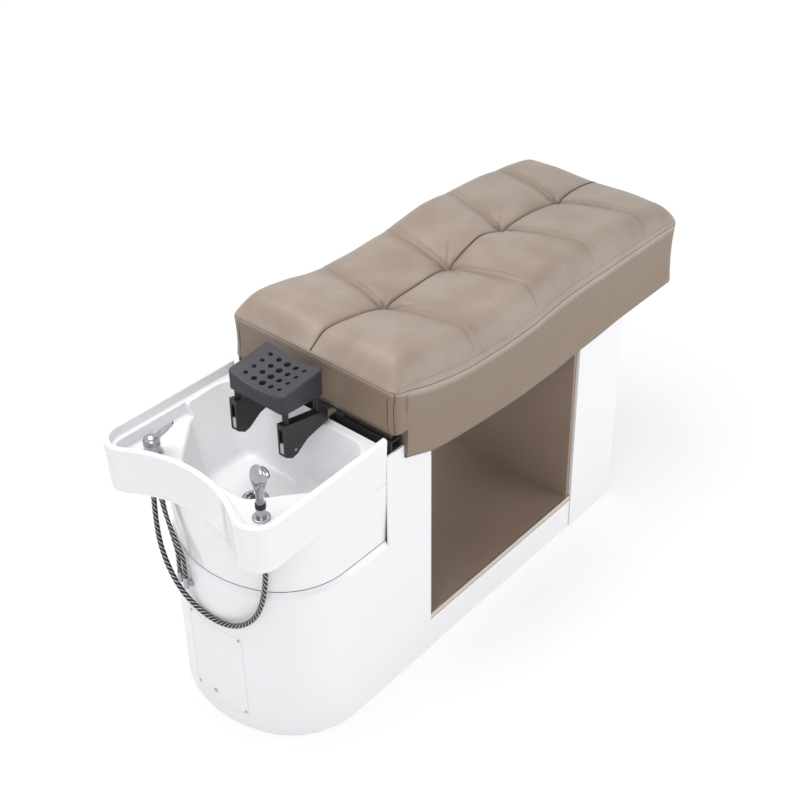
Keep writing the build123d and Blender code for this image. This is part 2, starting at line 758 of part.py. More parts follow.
# Inlet fittings on the nose: flange, bulkhead stem through the shell and an elbow that points up
stem_radius = 7
elbow_radius = 7
elbow_reach = 16
elbow_rise = 25
elbow_drop = 8
inlet_flange_radius = 11
inlet_flange_height = 3
inlet_inner_reach = 56
inlet_seat = 1.2
pipe_radius = 7.5
pipe_bottom_z = 20
pipe_top_drop = 25
inlet_points = []
with BuildPart() as inlet_fittings:
    for index in range(2):
        inlet_x = inlet_first_x - index * inlet_spacing
        face = (inlet_x, nose_front_y(inlet_x, inlet_height), inlet_height)
        outward = Vector(inlet_x, face[1] - nose_front_y(0, inlet_height) - nose_front_radius, 0).normalized()
        elbow = Vector(*face) + outward * elbow_reach
        inner = Vector(*face) - outward * inlet_inner_reach
        inlet_points.append((elbow, inner))
        add(rod_between(inner, elbow, stem_radius))
        with Locations(tuple(inner)):
            Sphere(stem_radius)
            Cylinder(stem_radius, pipe_top_drop, align=(Align.CENTER, Align.CENTER, Align.MAX))
        flange_start = Vector(*face) + outward * inlet_seat
        add(rod_between(flange_start, flange_start + outward * inlet_flange_height, inlet_flange_radius))
        with Locations((elbow.X, elbow.Y, inlet_height - elbow_drop)):
            Cylinder(elbow_radius, elbow_rise + elbow_drop, align=(Align.CENTER, Align.CENTER, Align.MIN))
finish_part(inlet_fittings, "inlet_fittings")

with BuildPart() as supply_pipes:
    for elbow, inner in inlet_points:
        pipe_length = inlet_height - pipe_top_drop - pipe_bottom_z
        with Locations((inner.X, inner.Y, pipe_bottom_z)):
            Cylinder(pipe_radius, pipe_length, align=(Align.CENTER, Align.CENTER, Align.MIN))
            Cylinder(pipe_radius - hole_clearance, pipe_length * 4, mode=Mode.SUBTRACT)
finish_part(supply_pipes, "supply_pipes")

# Free hoses: a shower hose that loops round the nose and two supply hoses down to the inlets
supply_radius = 5.5
ferrule_height = 22
shower_ferrule_radius = 8.5
supply_ferrule_radius = 7
ferrule_z = shank_end_z - nipple_height
hose_top_z = ferrule_z - ferrule_height
elbow_top_z = inlet_height + elbow_rise

# Hose bends between their straight ends: across, reach ahead of the taps, and drop below the ferrules
shower_bends = (
    (-192.1, 13, 96),
    (-185.9, 18, 143),
    (-174.6, 23, 190),
    (-155.1, 27, 233),
    (-125.3, 31, 272),
    (-86.3, 35, 300),
    (-39, 37, 315),
    (9.2, 37, 321),
    (58.6, 35, 316),
    (103.8, 30, 298),
    (140.7, 23, 267),
    (166.4, 16, 227),
    (179.8, 9, 181),
    (185.9, 4, 134),
)
cold_bends = (
    (-171.7, 5.8, 54.2),
    (-156.3, 11.5, 81.1),
    (-135.7, 18.5, 104.7),
    (-113.3, 25.3, 126.8),
    (-91.5, 31, 149.4),
    (-73.2, 35, 174.5),
)
hot_bends = (
    (-184.8, -7.7, 53.2),
    (-172.2, -0.7, 79.9),
    (-154.6, 7.9, 103.9),
    (-135.1, 16.2, 126.7),
    (-116.2, 23.3, 149.8),
    (-100.8, 28.2, 175.2),
)
bend_span = 188
shower_run = 48
supply_run = 24
bend_share = 0.45


def make_hose(outlet, bends, end, start_run, end_run, radius, name):
    """A plain tube from an outlet through its bends to its end: straight runs joined by arcs."""
    start = (mixer_x + outlet[0], tap_y + outlet[1], hose_top_z)
    first = (start[0], start[1], hose_top_z - start_run)
    last = (end[0], end[1], end[2] + end_run)
    spread = tap_x / bend_span
    between = [(across * spread, tap_y - ahead, hose_top_z - drop) for across, ahead, drop in bends]
    points = [Vector(*point) for point in (start, first, *between, last, end)]
    radii = []
    for before, corner, after in zip(points, points[1:], points[2:]):
        turned = radians((corner - before).get_angle(after - corner))
        shorter = min((corner - before).length, (after - corner).length)
        radii.append(bend_share * shorter / tan(turned / 2))
    with BuildPart() as hose:
        with BuildLine() as line:
            FilletPolyline(*points, radius=radii)
        with BuildSketch(Plane(origin=points[0], z_dir=points[1] - points[0])):
            Circle(radius)
        sweep(path=line.line)
    length = sum(edge.length for edge in line.edges())
    print(name, "length", round(length), "least radius", round(min(radii)))
    finish_part(hose, name)


guide_end = (tap_x, tap_y, guide_end_z)
cold_end = (inlet_points[0][0].X, inlet_points[0][0].Y, elbow_top_z)
hot_end = (inlet_points[1][0].X, inlet_points[1][0].Y, elbow_top_z)
make_hose(shower_outlet, shower_bends, guide_end, shower_run, -shower_run, hose_radius, "shower_hose")
make_hose(cold_outlet, cold_bends, cold_end, supply_run, supply_run, supply_radius, "cold_hose")
make_hose(hot_outlet, hot_bends, hot_end, supply_run, supply_run, supply_radius, "hot_hose")

ferrule_radii = (shower_ferrule_radius, supply_ferrule_radius, supply_ferrule_radius)
with BuildPart() as hose_ferrules:
    for outlet, ferrule_radius in zip(outlets, ferrule_radii):
        with Locations((mixer_x + outlet[0], tap_y + outlet[1], hose_top_z)):
            Cylinder(ferrule_radius, ferrule_height, align=(Align.CENTER, Align.CENTER, Align.MIN))
finish_part(hose_ferrules, "hose_ferrules")

# Neck rest: a perforated rubber pad on four posts that slide in two side brackets
pad_half_width = 95
pad_front_reach = 190
pad_back_reach = 48
pad_front_rise = 80
pad_back_rise = 70
pad_front_depth = 54
pad_back_depth = 77
pad_saddle = 17
pad_corner = 14
pad_round = 5
hole_columns = 5
hole_rows = 4
hole_pitch = 28.5
hole_middle_radius = 9
hole_radius_step = 1.6
post_radius = 8
post_x = 82
post_front_reach = 172
post_back_reach = 66
post_front_drop = 28
post_back_drop = 16
bracket_half_thickness = 12
bracket_front_reach = 190
bracket_back_reach = 40
slot_half_width = 6
slot_depth = 6
slot_drop = 43
slot_height = 75
bore_drop = 63
insert_height = 28

pad_front_y = cushion_head_y - pad_front_reach
pad_back_y = cushion_head_y - pad_back_reach
pad_front_bottom = rim_height + pad_front_rise
pad_back_bottom = rim_height + pad_back_rise
pad_front_top = pad_front_bottom + pad_front_depth
pad_back_top = pad_back_bottom + pad_back_depth
post_front_bottom = rim_height - post_front_drop
post_back_bottom = rim_height - post_back_drop
slot_bottom = rim_height - slot_drop
slot_top = slot_bottom + slot_height
bore_bottom = rim_height - bore_drop


def pad_end(y, bottom, top):
    """The pad's end outline: flat bottom, upright sides and a hollow saddle for the neck."""
    with BuildSketch(Plane(origin=(0, y, 0), x_dir=(1, 0, 0), z_dir=(0, -1, 0))) as outline:
        with BuildLine():
            Line((-pad_half_width, top), (-pad_half_width, bottom))
            Line((-pad_half_width, bottom), (pad_half_width, bottom))
            Line((pad_half_width, bottom), (pad_half_width, top))
            ThreePointArc((pad_half_width, top), (0, top - pad_saddle), (-pad_half_width, top))
        make_face()
    return outline.sketch


with BuildPart() as neck_pad:
    loft(
        [
            pad_end(pad_front_y, pad_front_bottom, pad_front_top),
            pad_end(pad_back_y, pad_back_bottom, pad_back_top),
        ]
    )
    fillet(neck_pad.edges().filter_by(Axis.Z), pad_corner)
    fillet(neck_pad.faces().sort_by(Axis.Z)[-1].edges(), pad_round)
    hole_centre_y = (pad_front_y + pad_back_y) / 2
    for column in range(hole_columns):
        for row in range(hole_rows):
            off_centre = abs(column - (hole_columns - 1) / 2)
            hole_x = (column - (hole_columns - 1) / 2) * hole_pitch
            hole_y = hole_centre_y + (row - (hole_rows - 1) / 2) * hole_pitch
            with Locations((hole_x, hole_y, pad_back_top)):
                Cylinder(hole_middle_radius - hole_radius_step * off_centre, pad_back_top, mode=Mode.SUBTRACT)
finish_part(neck_pad, "neck_pad")

pad_length = pad_front_reach - pad_back_reach


def pad_bottom_at(reach):
    """The pad's underside slopes evenly from front to back."""
    share = (pad_front_reach - reach) / pad_length
    return pad_front_bottom + (pad_back_bottom - pad_front_bottom) * share


with BuildPart() as neck_posts:
    for side in (-1, 1):
        for reach, bottom in ((post_front_reach, post_front_bottom), (post_back_reach, post_back_bottom)):
            top = pad_bottom_at(reach)
            with Locations((side * post_x, cushion_head_y - reach, bottom)):
                post_length = top - bottom + post_radius
                Cylinder(post_radius, post_length, align=(Align.CENTER, Align.CENTER, Align.MIN))
    add(neck_pad.part, mode=Mode.SUBTRACT)
finish_part(neck_posts, "neck_posts")

# A bracket's side outline: reach ahead of the cushion's head end, and rise over the basin's rim
bracket_outline = (
    (190, 48),
    (40, 16),
    (40, -15),
    (62, -19),
    (112, -29),
    (150, -54),
    (168, -58),
    (190, -44),
)

# The two side brackets: deep black channels, each with two bores for the posts and a slot in its front
with BuildPart() as neck_brackets:
    for side in (-1, 1):
        centre_x = side * post_x
        with BuildSketch(Plane.YZ.offset(centre_x - bracket_half_thickness)) as bracket_side:
            with BuildLine():
                Polyline(
                    *[(cushion_head_y - reach, rim_height + rise) for reach, rise in bracket_outline],
                    close=True,
                )
            make_face()
        extrude(bracket_side.sketch, amount=bracket_half_thickness * 2)
        for reach in (post_front_reach, post_back_reach):
            with Locations((centre_x, cushion_head_y - reach, bore_bottom)):
                Cylinder(post_radius + shaft_gap, bore_bottom, mode=Mode.SUBTRACT)
        slot_y = cushion_head_y - bracket_front_reach
        slot_low = centre_x - slot_half_width
        slot_high = centre_x + slot_half_width
        slot_limits = (slot_low, slot_high, slot_y - overrun, slot_y + slot_depth)
        add(box_between(*slot_limits, slot_bottom + overrun, slot_top), mode=Mode.SUBTRACT)
finish_part(neck_brackets, "neck_brackets")

insert_setback = 1
with BuildPart() as bracket_inserts:
    for side in (-1, 1):
        insert_y = cushion_head_y - bracket_front_reach + insert_setback
        insert_low = side * post_x - slot_half_width
        insert_high = side * post_x + slot_half_width
        insert_back = cushion_head_y - bracket_front_reach + slot_depth
        insert_z = slot_bottom + overrun
        add(box_between(insert_low, insert_high, insert_y, insert_back, insert_z, insert_z + insert_height))
finish_part(bracket_inserts, "bracket_inserts")

bracket_screw_radius = 4
bracket_screw_reach = 156
bracket_screw_drop = 38
bracket_screw_head = 1.5
with BuildPart() as bracket_screws:
    for side in (-1, 1):
        screw_face_x = side * (post_x + bracket_half_thickness)
        start = (screw_face_x, cushion_head_y - bracket_screw_reach, rim_height - bracket_screw_drop)
        end = (start[0] + side * bracket_screw_head, start[1], start[2])
        add(rod_between(start, end, bracket_screw_radius))
finish_part(bracket_screws, "bracket_screws")

# Steel arms from the brackets back to a plate on the head crossbar, under the cushion's head edge
arm_half_width = 10
arm_drop = 15
arm_height = 8
arm_back_reach = 36
arm_plate_half_width = 110
crossbar_front_reach = 0
crossbar_back_reach = 38
crossbar_drop = 26
crossbar_height = 30
tube_wall = 2.5
arm_bottom = rim_height - arm_drop
crossbar_top = rim_height - crossbar_drop

with BuildPart() as neck_arms:
    for side in (-1, 1):
        arm_x = side * post_x
        arm_front_y = cushion_head_y - bracket_back_reach
        arm_back_y = cushion_head_y + arm_back_reach
        arm_low = arm_x - arm_half_width
        arm_high = arm_x + arm_half_width
        add(box_between(arm_low, arm_high, arm_front_y, arm_back_y, arm_bottom, arm_bottom + arm_height))
finish_part(neck_arms, "neck_arms")

with BuildPart() as arm_plate:
    add(
        box_between(
            -arm_plate_half_width,
            arm_plate_half_width,
            cushion_head_y + crossbar_front_reach,
            cushion_head_y + crossbar_back_reach,
            crossbar_top,
            arm_bottom,
        )
    )
finish_part(arm_plate, "arm_plate")

with BuildPart() as head_crossbar:
    crossbar_half = half_body - column_wall
    crossbar_limits = (-crossbar_half, crossbar_half, cushion_head_y, cushion_head_y + crossbar_back_reach)
    add(tube_between(*crossbar_limits, crossbar_top - crossbar_height, crossbar_top, tube_wall, "x"))
finish_part(head_crossbar, "head_crossbar")

gasket_side_gap = 8
gasket_back_reach = 8
gasket_height = 11
gasket_arm_gap = 1
with BuildPart() as head_gasket:
    gap_low = post_x - arm_half_width - gasket_arm_gap
    gap_high = post_x + arm_half_width + gasket_arm_gap
    gasket_end = half_body - gasket_side_gap
    for x_low, x_high in ((-gasket_end, -gap_high), (-gap_low, gap_low), (gap_high, gasket_end)):
        strip_y = (cushion_head_y, cushion_head_y + gasket_back_reach)
        add(box_between(x_low, x_high, *strip_y, arm_bottom, arm_bottom + gasket_height))
finish_part(head_gasket, "head_gasket")

# Steel frame: four posts on levelling feet, two seat rails, base rails and crossbars
post_width = 40
frame_side_gap = 50
post_back_gap = 50
leg_depth = 216
leg_overhang = 268
rail_end_gap = 22
rail_drop = 150
rail_height = 30
rail_front_reach = 44
crossbar_width = 30
base_rail_bottom = 64
base_rail_top = 104
foot_pad_radius = 20
foot_pad_height = 6
foot_stem_radius = 5
foot_stem_height = 8
post_bottom = foot_pad_height + foot_stem_height
half_post = post_width / 2
rail_bottom = rim_height - rail_drop
rail_top = rail_bottom + rail_height
frame_x = half_body - frame_side_gap - half_post
leg_back_reach = cushion_length - leg_overhang
leg_front_reach = leg_back_reach - leg_depth
head_post_reach = column_back_reach - post_back_gap
foot_post_reach = leg_front_reach + leg_depth / 2
middle_bar_reach = (head_post_reach + foot_post_reach) / 2
rail_back_reach = leg_back_reach - rail_end_gap
post_reaches = (head_post_reach, foot_post_reach)

with BuildPart() as levelling_feet:
    for side in (-1, 1):
        for reach in post_reaches:
            with Locations((side * frame_x, cushion_head_y + reach, 0)):
                Cylinder(foot_pad_radius, foot_pad_height, align=(Align.CENTER, Align.CENTER, Align.MIN))
                Cylinder(foot_stem_radius, post_bottom, align=(Align.CENTER, Align.CENTER, Align.MIN))
finish_part(levelling_feet, "levelling_feet")

with BuildPart() as frame_posts:
    for side in (-1, 1):
        for reach in post_reaches:
            post_centre_y = cushion_head_y + reach
            x_low = side * frame_x - half_post
            x_high = side * frame_x + half_post
            y_limits = (post_centre_y - half_post, post_centre_y + half_post)
            add(tube_between(x_low, x_high, *y_limits, post_bottom, rail_bottom, tube_wall, "z"))
            add(box_between(x_low, x_high, *y_limits, post_bottom, post_bottom + tube_wall))
finish_part(frame_posts, "frame_posts")

bolt_bar_gap = 55
bolt_reaches = (
    head_post_reach + bolt_bar_gap,
    middle_bar_reach - bolt_bar_gap,
    foot_post_reach - bolt_bar_gap,
)
bolt_radius = 4
bolt_hole_gap = 0.3
bolt_head_radius = 6.5
bolt_head_height = 5
bolt_length = 62


def bolt_rods(radius):
    """The shanks of the six seat bolts, or with a larger radius the holes for them."""
    rods = []
    for side in (-1, 1):
        for reach in bolt_reaches:
            place = (side * frame_x, cushion_head_y + reach)
            rods.append(rod_between((*place, rail_bottom), (*place, rail_bottom + bolt_length), radius))
    return rods


with BuildPart() as seat_rails:
    for side in (-1, 1):
        x_low = side * frame_x - half_post
        x_high = side * frame_x + half_post
        y_limits = (cushion_head_y + rail_front_reach, cushion_head_y + rail_back_reach)
        add(tube_between(x_low, x_high, *y_limits, rail_bottom, rail_top, tube_wall, "y"))
    add(bolt_rods(bolt_radius + bolt_hole_gap), mode=Mode.SUBTRACT)
finish_part(seat_rails, "seat_rails")

rail_inner_x = frame_x - half_post
with BuildPart() as frame_crossbars:
    for reach in (head_post_reach, middle_bar_reach, foot_post_reach):
        y_limits = (cushion_head_y + reach - crossbar_width / 2, cushion_head_y + reach + crossbar_width / 2)
        add(tube_between(-rail_inner_x, rail_inner_x, *y_limits, rail_bottom, rail_top, tube_wall, "x"))
finish_part(frame_crossbars, "frame_crossbars")

with BuildPart() as head_brackets:
    for side in (-1, 1):
        x_low = side * frame_x - half_post
        x_high = side * frame_x + half_post
        y_low = cushion_head_y + rail_front_reach - crossbar_width
        y_high = cushion_head_y + rail_front_reach
        riser_top = crossbar_top - crossbar_height
        add(tube_between(x_low, x_high, y_low, y_high, rail_bottom, riser_top, tube_wall, "z"))
finish_part(head_brackets, "head_brackets")

post_gap_front = cushion_head_y + head_post_reach + half_post
post_gap_back = cushion_head_y + foot_post_reach - half_post
with BuildPart() as base_rails:
    for side in (-1, 1):
        x_low = side * frame_x - half_post
        x_high = side * frame_x + half_post
        y_limits = (post_gap_front, post_gap_back)
        add(tube_between(x_low, x_high, *y_limits, base_rail_bottom, base_rail_top, tube_wall, "y"))
finish_part(base_rails, "base_rails")

with BuildPart() as base_crossbars:
    for reach in (head_post_reach, middle_bar_reach, foot_post_reach):
        bar_y = cushion_head_y + reach
        bar_limits = (-rail_inner_x, rail_inner_x, bar_y - half_post, bar_y + half_post)
        add(tube_between(*bar_limits, base_rail_bottom, base_rail_top, tube_wall, "x"))
finish_part(base_crossbars, "base_crossbars")

# Open cubby between the column and the rear leg
cubby_wall = 12
floor_side_gap = 8
floor_thickness = 16
leg_gap = 3
cubby_rail_gap = 13
ceiling_thickness = 6
ceiling_side_gap = 30
edge_strip_depth = 6
reveal_height = 4
reveal_setback = 10
plinth_thickness = 10
plinth_setback = 2
cubby_top = rail_bottom - cubby_rail_gap
floor_half_width = half_body - floor_side_gap
ceiling_half_width = half_body - ceiling_side_gap
floor_top = base_rail_top + floor_thickness
foot_wall_back = leg_front_reach - leg_gap
cubby_front_y = cushion_head_y + column_back_reach
cubby_back_y = cushion_head_y + foot_wall_back
leg_front_y = cushion_head_y + leg_front_reach
leg_back_y = cushion_head_y + leg_back_reach

with BuildPart() as cubby_floor:
    y_limits = (cubby_front_y, cubby_back_y)
    add(box_between(-floor_half_width, floor_half_width, *y_limits, base_rail_top, floor_top))
finish_part(cubby_floor, "cubby_floor")

with BuildPart() as floor_edge_strips:
    for side in (-1, 1):
        x_limits = sorted((side * floor_half_width, side * (floor_half_width + edge_strip_depth)))
        add(box_between(*x_limits, cubby_front_y, cubby_back_y, base_rail_top, floor_top))
finish_part(floor_edge_strips, "floor_edge_strips")

plinth_x = floor_half_width + edge_strip_depth
with BuildPart() as plinth_panels:
    for side in (-1, 1):
        x_limits = sorted((side * plinth_x, side * (plinth_x - plinth_thickness)))
        add(box_between(*x_limits, cubby_front_y, leg_front_y - leg_gap, 0, base_rail_top - reveal_height))
finish_part(plinth_panels, "plinth_panels")

with BuildPart() as reveal_strips:
    for side in (-1, 1):
        x_limits = sorted((side * floor_half_width, side * (floor_half_width - reveal_setback)))
        reveal_y = (cubby_front_y, leg_front_y - leg_gap)
        add(box_between(*x_limits, *reveal_y, base_rail_top - reveal_height, base_rail_top))
finish_part(reveal_strips, "reveal_strips")

block_end_gap = 40
block_length = 40
block_bottom = 70
block_reaches = (
    column_back_reach + block_end_gap,
    middle_bar_reach,
    foot_wall_back - block_end_gap,
)
with BuildPart() as plinth_blocks:
    for side in (-1, 1):
        for reach in block_reaches:
            x_limits = sorted((side * (frame_x + half_post), side * (plinth_x - plinth_thickness)))
            y_low = cushion_head_y + reach - block_length / 2
            block_top = base_rail_top - reveal_height
            add(box_between(*x_limits, y_low, y_low + block_length, block_bottom, block_top))
finish_part(plinth_blocks, "plinth_blocks")

with BuildPart() as cubby_head_wall:
    y_limits = (cubby_front_y, cubby_front_y + cubby_wall)
    add(box_between(-floor_half_width, floor_half_width, *y_limits, floor_top, cubby_top))
finish_part(cubby_head_wall, "cubby_head_wall")

with BuildPart() as cubby_foot_wall:
    y_limits = (cubby_back_y - cubby_wall, cubby_back_y)
    add(box_between(-floor_half_width, floor_half_width, *y_limits, floor_top, cubby_top))
finish_part(cubby_foot_wall, "cubby_foot_wall")

with BuildPart() as cubby_ceiling:
    x_limits = (-ceiling_half_width, ceiling_half_width)
    add(box_between(*x_limits, cubby_front_y, cubby_back_y, cubby_top, cubby_top + ceiling_thickness))
finish_part(cubby_ceiling, "cubby_ceiling")

# Rear leg: a white box open at its head side, closed by the cubby's foot wall
leg_wall = 12
leg_rail_gap = 8
gap_strip_inset = 14
leg_top = rail_bottom - leg_rail_gap
gap_strip_half = half_body - gap_strip_inset
with BuildPart() as leg_gap_strip:
    add(box_between(-gap_strip_half, gap_strip_half, cubby_back_y, leg_front_y, floor_top, cubby_top))
finish_part(leg_gap_strip, "leg_gap_strip")

with BuildPart() as leg_side_panels:
    for side in (-1, 1):
        x_limits = sorted((side * half_body, side * (half_body - leg_wall)))
        add(box_between(*x_limits, leg_front_y, leg_back_y, 0, leg_top))
finish_part(leg_side_panels, "leg_side_panels")

leg_inner = half_body - leg_wall
with BuildPart() as leg_foot_panel:
    add(box_between(-leg_inner, leg_inner, leg_back_y - leg_wall, leg_back_y, 0, leg_top))
finish_part(leg_foot_panel, "leg_foot_panel")

low_cleat_z = 90
high_cleat_drop = 55
cleat_height = 30
cleat_length = 36
with BuildPart() as panel_cleats:
    for side in (-1, 1):
        for reach, wall_x in ((head_post_reach, half_body - column_wall), (foot_post_reach, leg_inner)):
            for cleat_z in (low_cleat_z, cubby_top - high_cleat_drop):
                x_limits = sorted((side * (frame_x + half_post), side * wall_x))
                y_low = cushion_head_y + reach - cleat_length / 2
                add(box_between(*x_limits, y_low, y_low + cleat_length, cleat_z, cleat_z + cleat_height))
finish_part(panel_cleats, "panel_cleats")

# Couch: a wave-shaped cushion with a tufted top, over a bent plywood board on two bearers
profile_length = 1290
profile_rim_height = 818
stretch = cushion_length / profile_length
lift = rim_height - profile_rim_height
seam_profile = (
    (0, 938),
    (57, 917),
    (132, 891),
    (210, 873),
    (290, 860),
    (372, 854),
    (457, 850),
    (544, 850),
    (633, 858),
    (725, 864),
    (820, 865),
    (918, 863),
    (1019, 862),
    (1124, 861),
    (1204, 860),
    (1290, 858),
)
bottom_profile = (
    (0, 736),
    (45, 730),
    (95, 710),
    (150, 692),
    (255, 677),
    (380, 665),
    (512, 656),
    (648, 654),
    (753, 659),
    (891, 663),
    (993, 668),
    (1290, 668),
)
valley_profile = (
    (0, 962),
    (61, 976),
    (153, 965),
    (236, 949),
    (278, 938),
    (346, 940),
    (469, 944),
    (538, 938),
    (632, 966),
    (676, 975),
    (782, 950),
    (870, 950),
    (992, 933),
    (1047, 928),
    (1119, 933),
    (1262, 914),
    (1290, 896),
)
pillow_profile = (
    (0, 966),
    (35, 984),
    (109, 994),
    (190, 980),
    (278, 946),
    (346, 958),
    (415, 962),
    (538, 944),
    (632, 966),
    (690, 976),
    (782, 958),
    (870, 968),
    (947, 968),
    (1047, 944),
    (1145, 952),
    (1240, 940),
    (1290, 905),
)
tuft_reaches = (278, 538, 782, 1047)
crease_side = 20
crease_depth = 12
crease_share = 0.55
end_steps = (0, 3, 9, 20, 40)
plan_corner = 34
side_draw = 5
edge_reach = 62
edge_shoulder_share = 0.78
edge_bulge_share = 0.68
edge_mid_share = 0.3
pillow_share = 0.5
least_pillow = 3
least_valley = 1
valley_half = 7
wave_steps = (95, 140, 190, 235, 320, 380, 430, 480, 600, 660, 710, 840, 910, 980, 1110, 1170)
notch_reach = 45
notch_drop = 4

notch_top = rim_height - notch_drop


def profile_at(profile, reach):
    """The height of a profile, read evenly between its points."""
    drawn = reach / stretch
    for (low_reach, low), (high_reach, high) in zip(profile, profile[1:]):
        if drawn <= high_reach:
            return lift + low + (high - low) * (drawn - low_reach) / (high_reach - low_reach)
    return lift + profile[-1][1]


def end_share(distance):
    """How much of the full crown stands this far from a sewn end: a quarter-round rise."""
    if distance >= edge_reach:
        return 1
    return sqrt(1 - (1 - distance / edge_reach) ** 2)


def corner_inset(distance):
    """How far the sides stand in, this far from an end, for the rounded plan corners."""
    if distance >= plan_corner:
        return 0
    return plan_corner - sqrt(plan_corner**2 - (plan_corner - distance) ** 2)


def cushion_section(reach, crease):
    """One cross-section: flat bottom, drawn-in sides, bulged edges and two pillows beside a centre seam."""
    from_end = min(reach, cushion_length - reach)
    half = half_cushion - corner_inset(from_end)
    bottom = profile_at(bottom_profile, reach)
    seam = profile_at(seam_profile, reach)
    share = end_share(from_end)
    pillow = seam + (profile_at(pillow_profile, reach) - seam) * share - crease
    valley = seam + (profile_at(valley_profile, reach) - seam) * share - crease * crease_share
    pillow = max(pillow, seam + least_pillow)
    valley = max(min(valley, pillow - least_valley), seam + least_valley)
    pillow_x = half_cushion * pillow_share
    edge_x = half - edge_reach
    edge_z = seam + (pillow - seam) * edge_shoulder_share
    edge_mid = (half - edge_reach * edge_mid_share, seam + (edge_z - seam) * edge_bulge_share)
    side_mid = (half - side_draw, (bottom + seam) / 2)
    plane = Plane(origin=(0, cushion_head_y + reach, 0), x_dir=(1, 0, 0), z_dir=(0, -1, 0))
    with BuildSketch(plane) as section:
        with BuildLine():
            Line((-half, bottom), (half, bottom))
            ThreePointArc((half, bottom), side_mid, (half, seam))
            ThreePointArc((half, seam), edge_mid, (edge_x, edge_z))
            ThreePointArc((edge_x, edge_z), (pillow_x, pillow), (valley_half, valley))
            Line((valley_half, valley), (-valley_half, valley))
            ThreePointArc((-valley_half, valley), (-pillow_x, pillow), (-edge_x, edge_z))
            ThreePointArc((-edge_x, edge_z), (-edge_mid[0], edge_mid[1]), (-half, seam))
            ThreePointArc((-half, seam), (-side_mid[0], side_mid[1]), (-half, bottom))
        make_face()
    return section.sketch


section_reaches = [(step, 0) for step in end_steps]
section_reaches += [(step * stretch, 0) for step in wave_steps]
section_reaches += [(cushion_length - step, 0) for step in end_steps]
for drawn_tuft in tuft_reaches:
    tuft = drawn_tuft * stretch
    section_reaches += [(tuft - crease_side, 0), (tuft, crease_depth), (tuft + crease_side, 0)]
section_reaches.sort()

board_thickness = 18
board_gap = 0.3
recess_rise = 75
recess_side = 35
recess_front_reach = 60
recess_end = 25
board_side_gap = 2
recess_half = half_cushion - recess_side
recess_back_reach = cushion_length - recess_end
board_half_width = recess_half - board_side_gap


def under_strip(front_reach, back_reach, half, low_rise, high_rise):
    """A strip that follows the cushion's underside, between two rises above it."""
    bends = [reach * stretch for reach, height in bottom_profile]
    reaches = [front_reach, *[reach for reach in bends if front_reach < reach < back_reach], back_reach]
    under = [(cushion_head_y + reach, profile_at(bottom_profile, reach)) for reach in reaches]
    lower = [(y, height + low_rise) for y, height in under]
    upper = [(y, height + high_rise) for y, height in reversed(under)]
    with BuildSketch(Plane.YZ.offset(-half)) as strip_side:
        with BuildLine():
            Polyline(*lower, *upper, close=True)
        make_face()
    return extrude(strip_side.sketch, amount=half * 2)


with BuildPart() as cushion:
    loft([cushion_section(reach, crease) for reach, crease in section_reaches], ruled=True)
    notch_y = (cushion_head_y - overrun, cushion_head_y + notch_reach)
    notch = box_between(-body_width, body_width, *notch_y, rail_bottom, notch_top)
    add(notch, mode=Mode.SUBTRACT)
    recess = under_strip(recess_front_reach, recess_back_reach, recess_half, -recess_rise, recess_rise)
    add(recess, mode=Mode.SUBTRACT)
finish_part(cushion, "cushion")

board_front_reach = recess_front_reach + board_side_gap
board_back_reach = recess_back_reach - board_side_gap
board_low_rise = recess_rise - board_gap - board_thickness
with BuildPart() as seat_board:
    board_limits = (board_front_reach, board_back_reach, board_half_width)
    add(under_strip(*board_limits, board_low_rise, recess_rise - board_gap))
    add(bolt_rods(bolt_radius + bolt_hole_gap), mode=Mode.SUBTRACT)
finish_part(seat_board, "seat_board")

with BuildPart() as bearers:
    for side in (-1, 1):
        x_low = side * frame_x - half_post
        x_high = side * frame_x + half_post
        bearer_y = (cushion_head_y + board_front_reach, cushion_head_y + rail_back_reach)
        add(box_between(x_low, x_high, *bearer_y, rail_top, crossbar_top))
    over_reaches = (board_front_reach - overrun, rail_back_reach + overrun)
    add(under_strip(*over_reaches, board_half_width, board_low_rise, rail_top), mode=Mode.SUBTRACT)
    add(bolt_rods(bolt_radius + bolt_hole_gap), mode=Mode.SUBTRACT)
finish_part(bearers, "bearers")

with BuildPart() as seat_bolts:
    add(bolt_rods(bolt_radius))
    for side in (-1, 1):
        for reach in bolt_reaches:
            head_top = (side * frame_x, cushion_head_y + reach, rail_bottom)
            add(rod_between((*head_top[:2], rail_bottom - bolt_head_height), head_top, bolt_head_radius))
finish_part(seat_bolts, "seat_bolts")
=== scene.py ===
# %% [markdown]
# # A salon hair washing bed
# The couch carries a long leather cushion that is pulled down along its middle by four hidden tufts.
# At its head stand a glossy white basin on a lacquered column, a mixer tap, a hand shower and a neck rest.
# The metal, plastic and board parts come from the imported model. This lesson gives them their finishes,
# and makes the soft and fine pieces that a solid modeller is poor at: leather, thread, rubber and hoses.

# %% Load the frame
import json
import math
import bmesh
import bpy
import numpy as np
from mathutils import Matrix, Vector


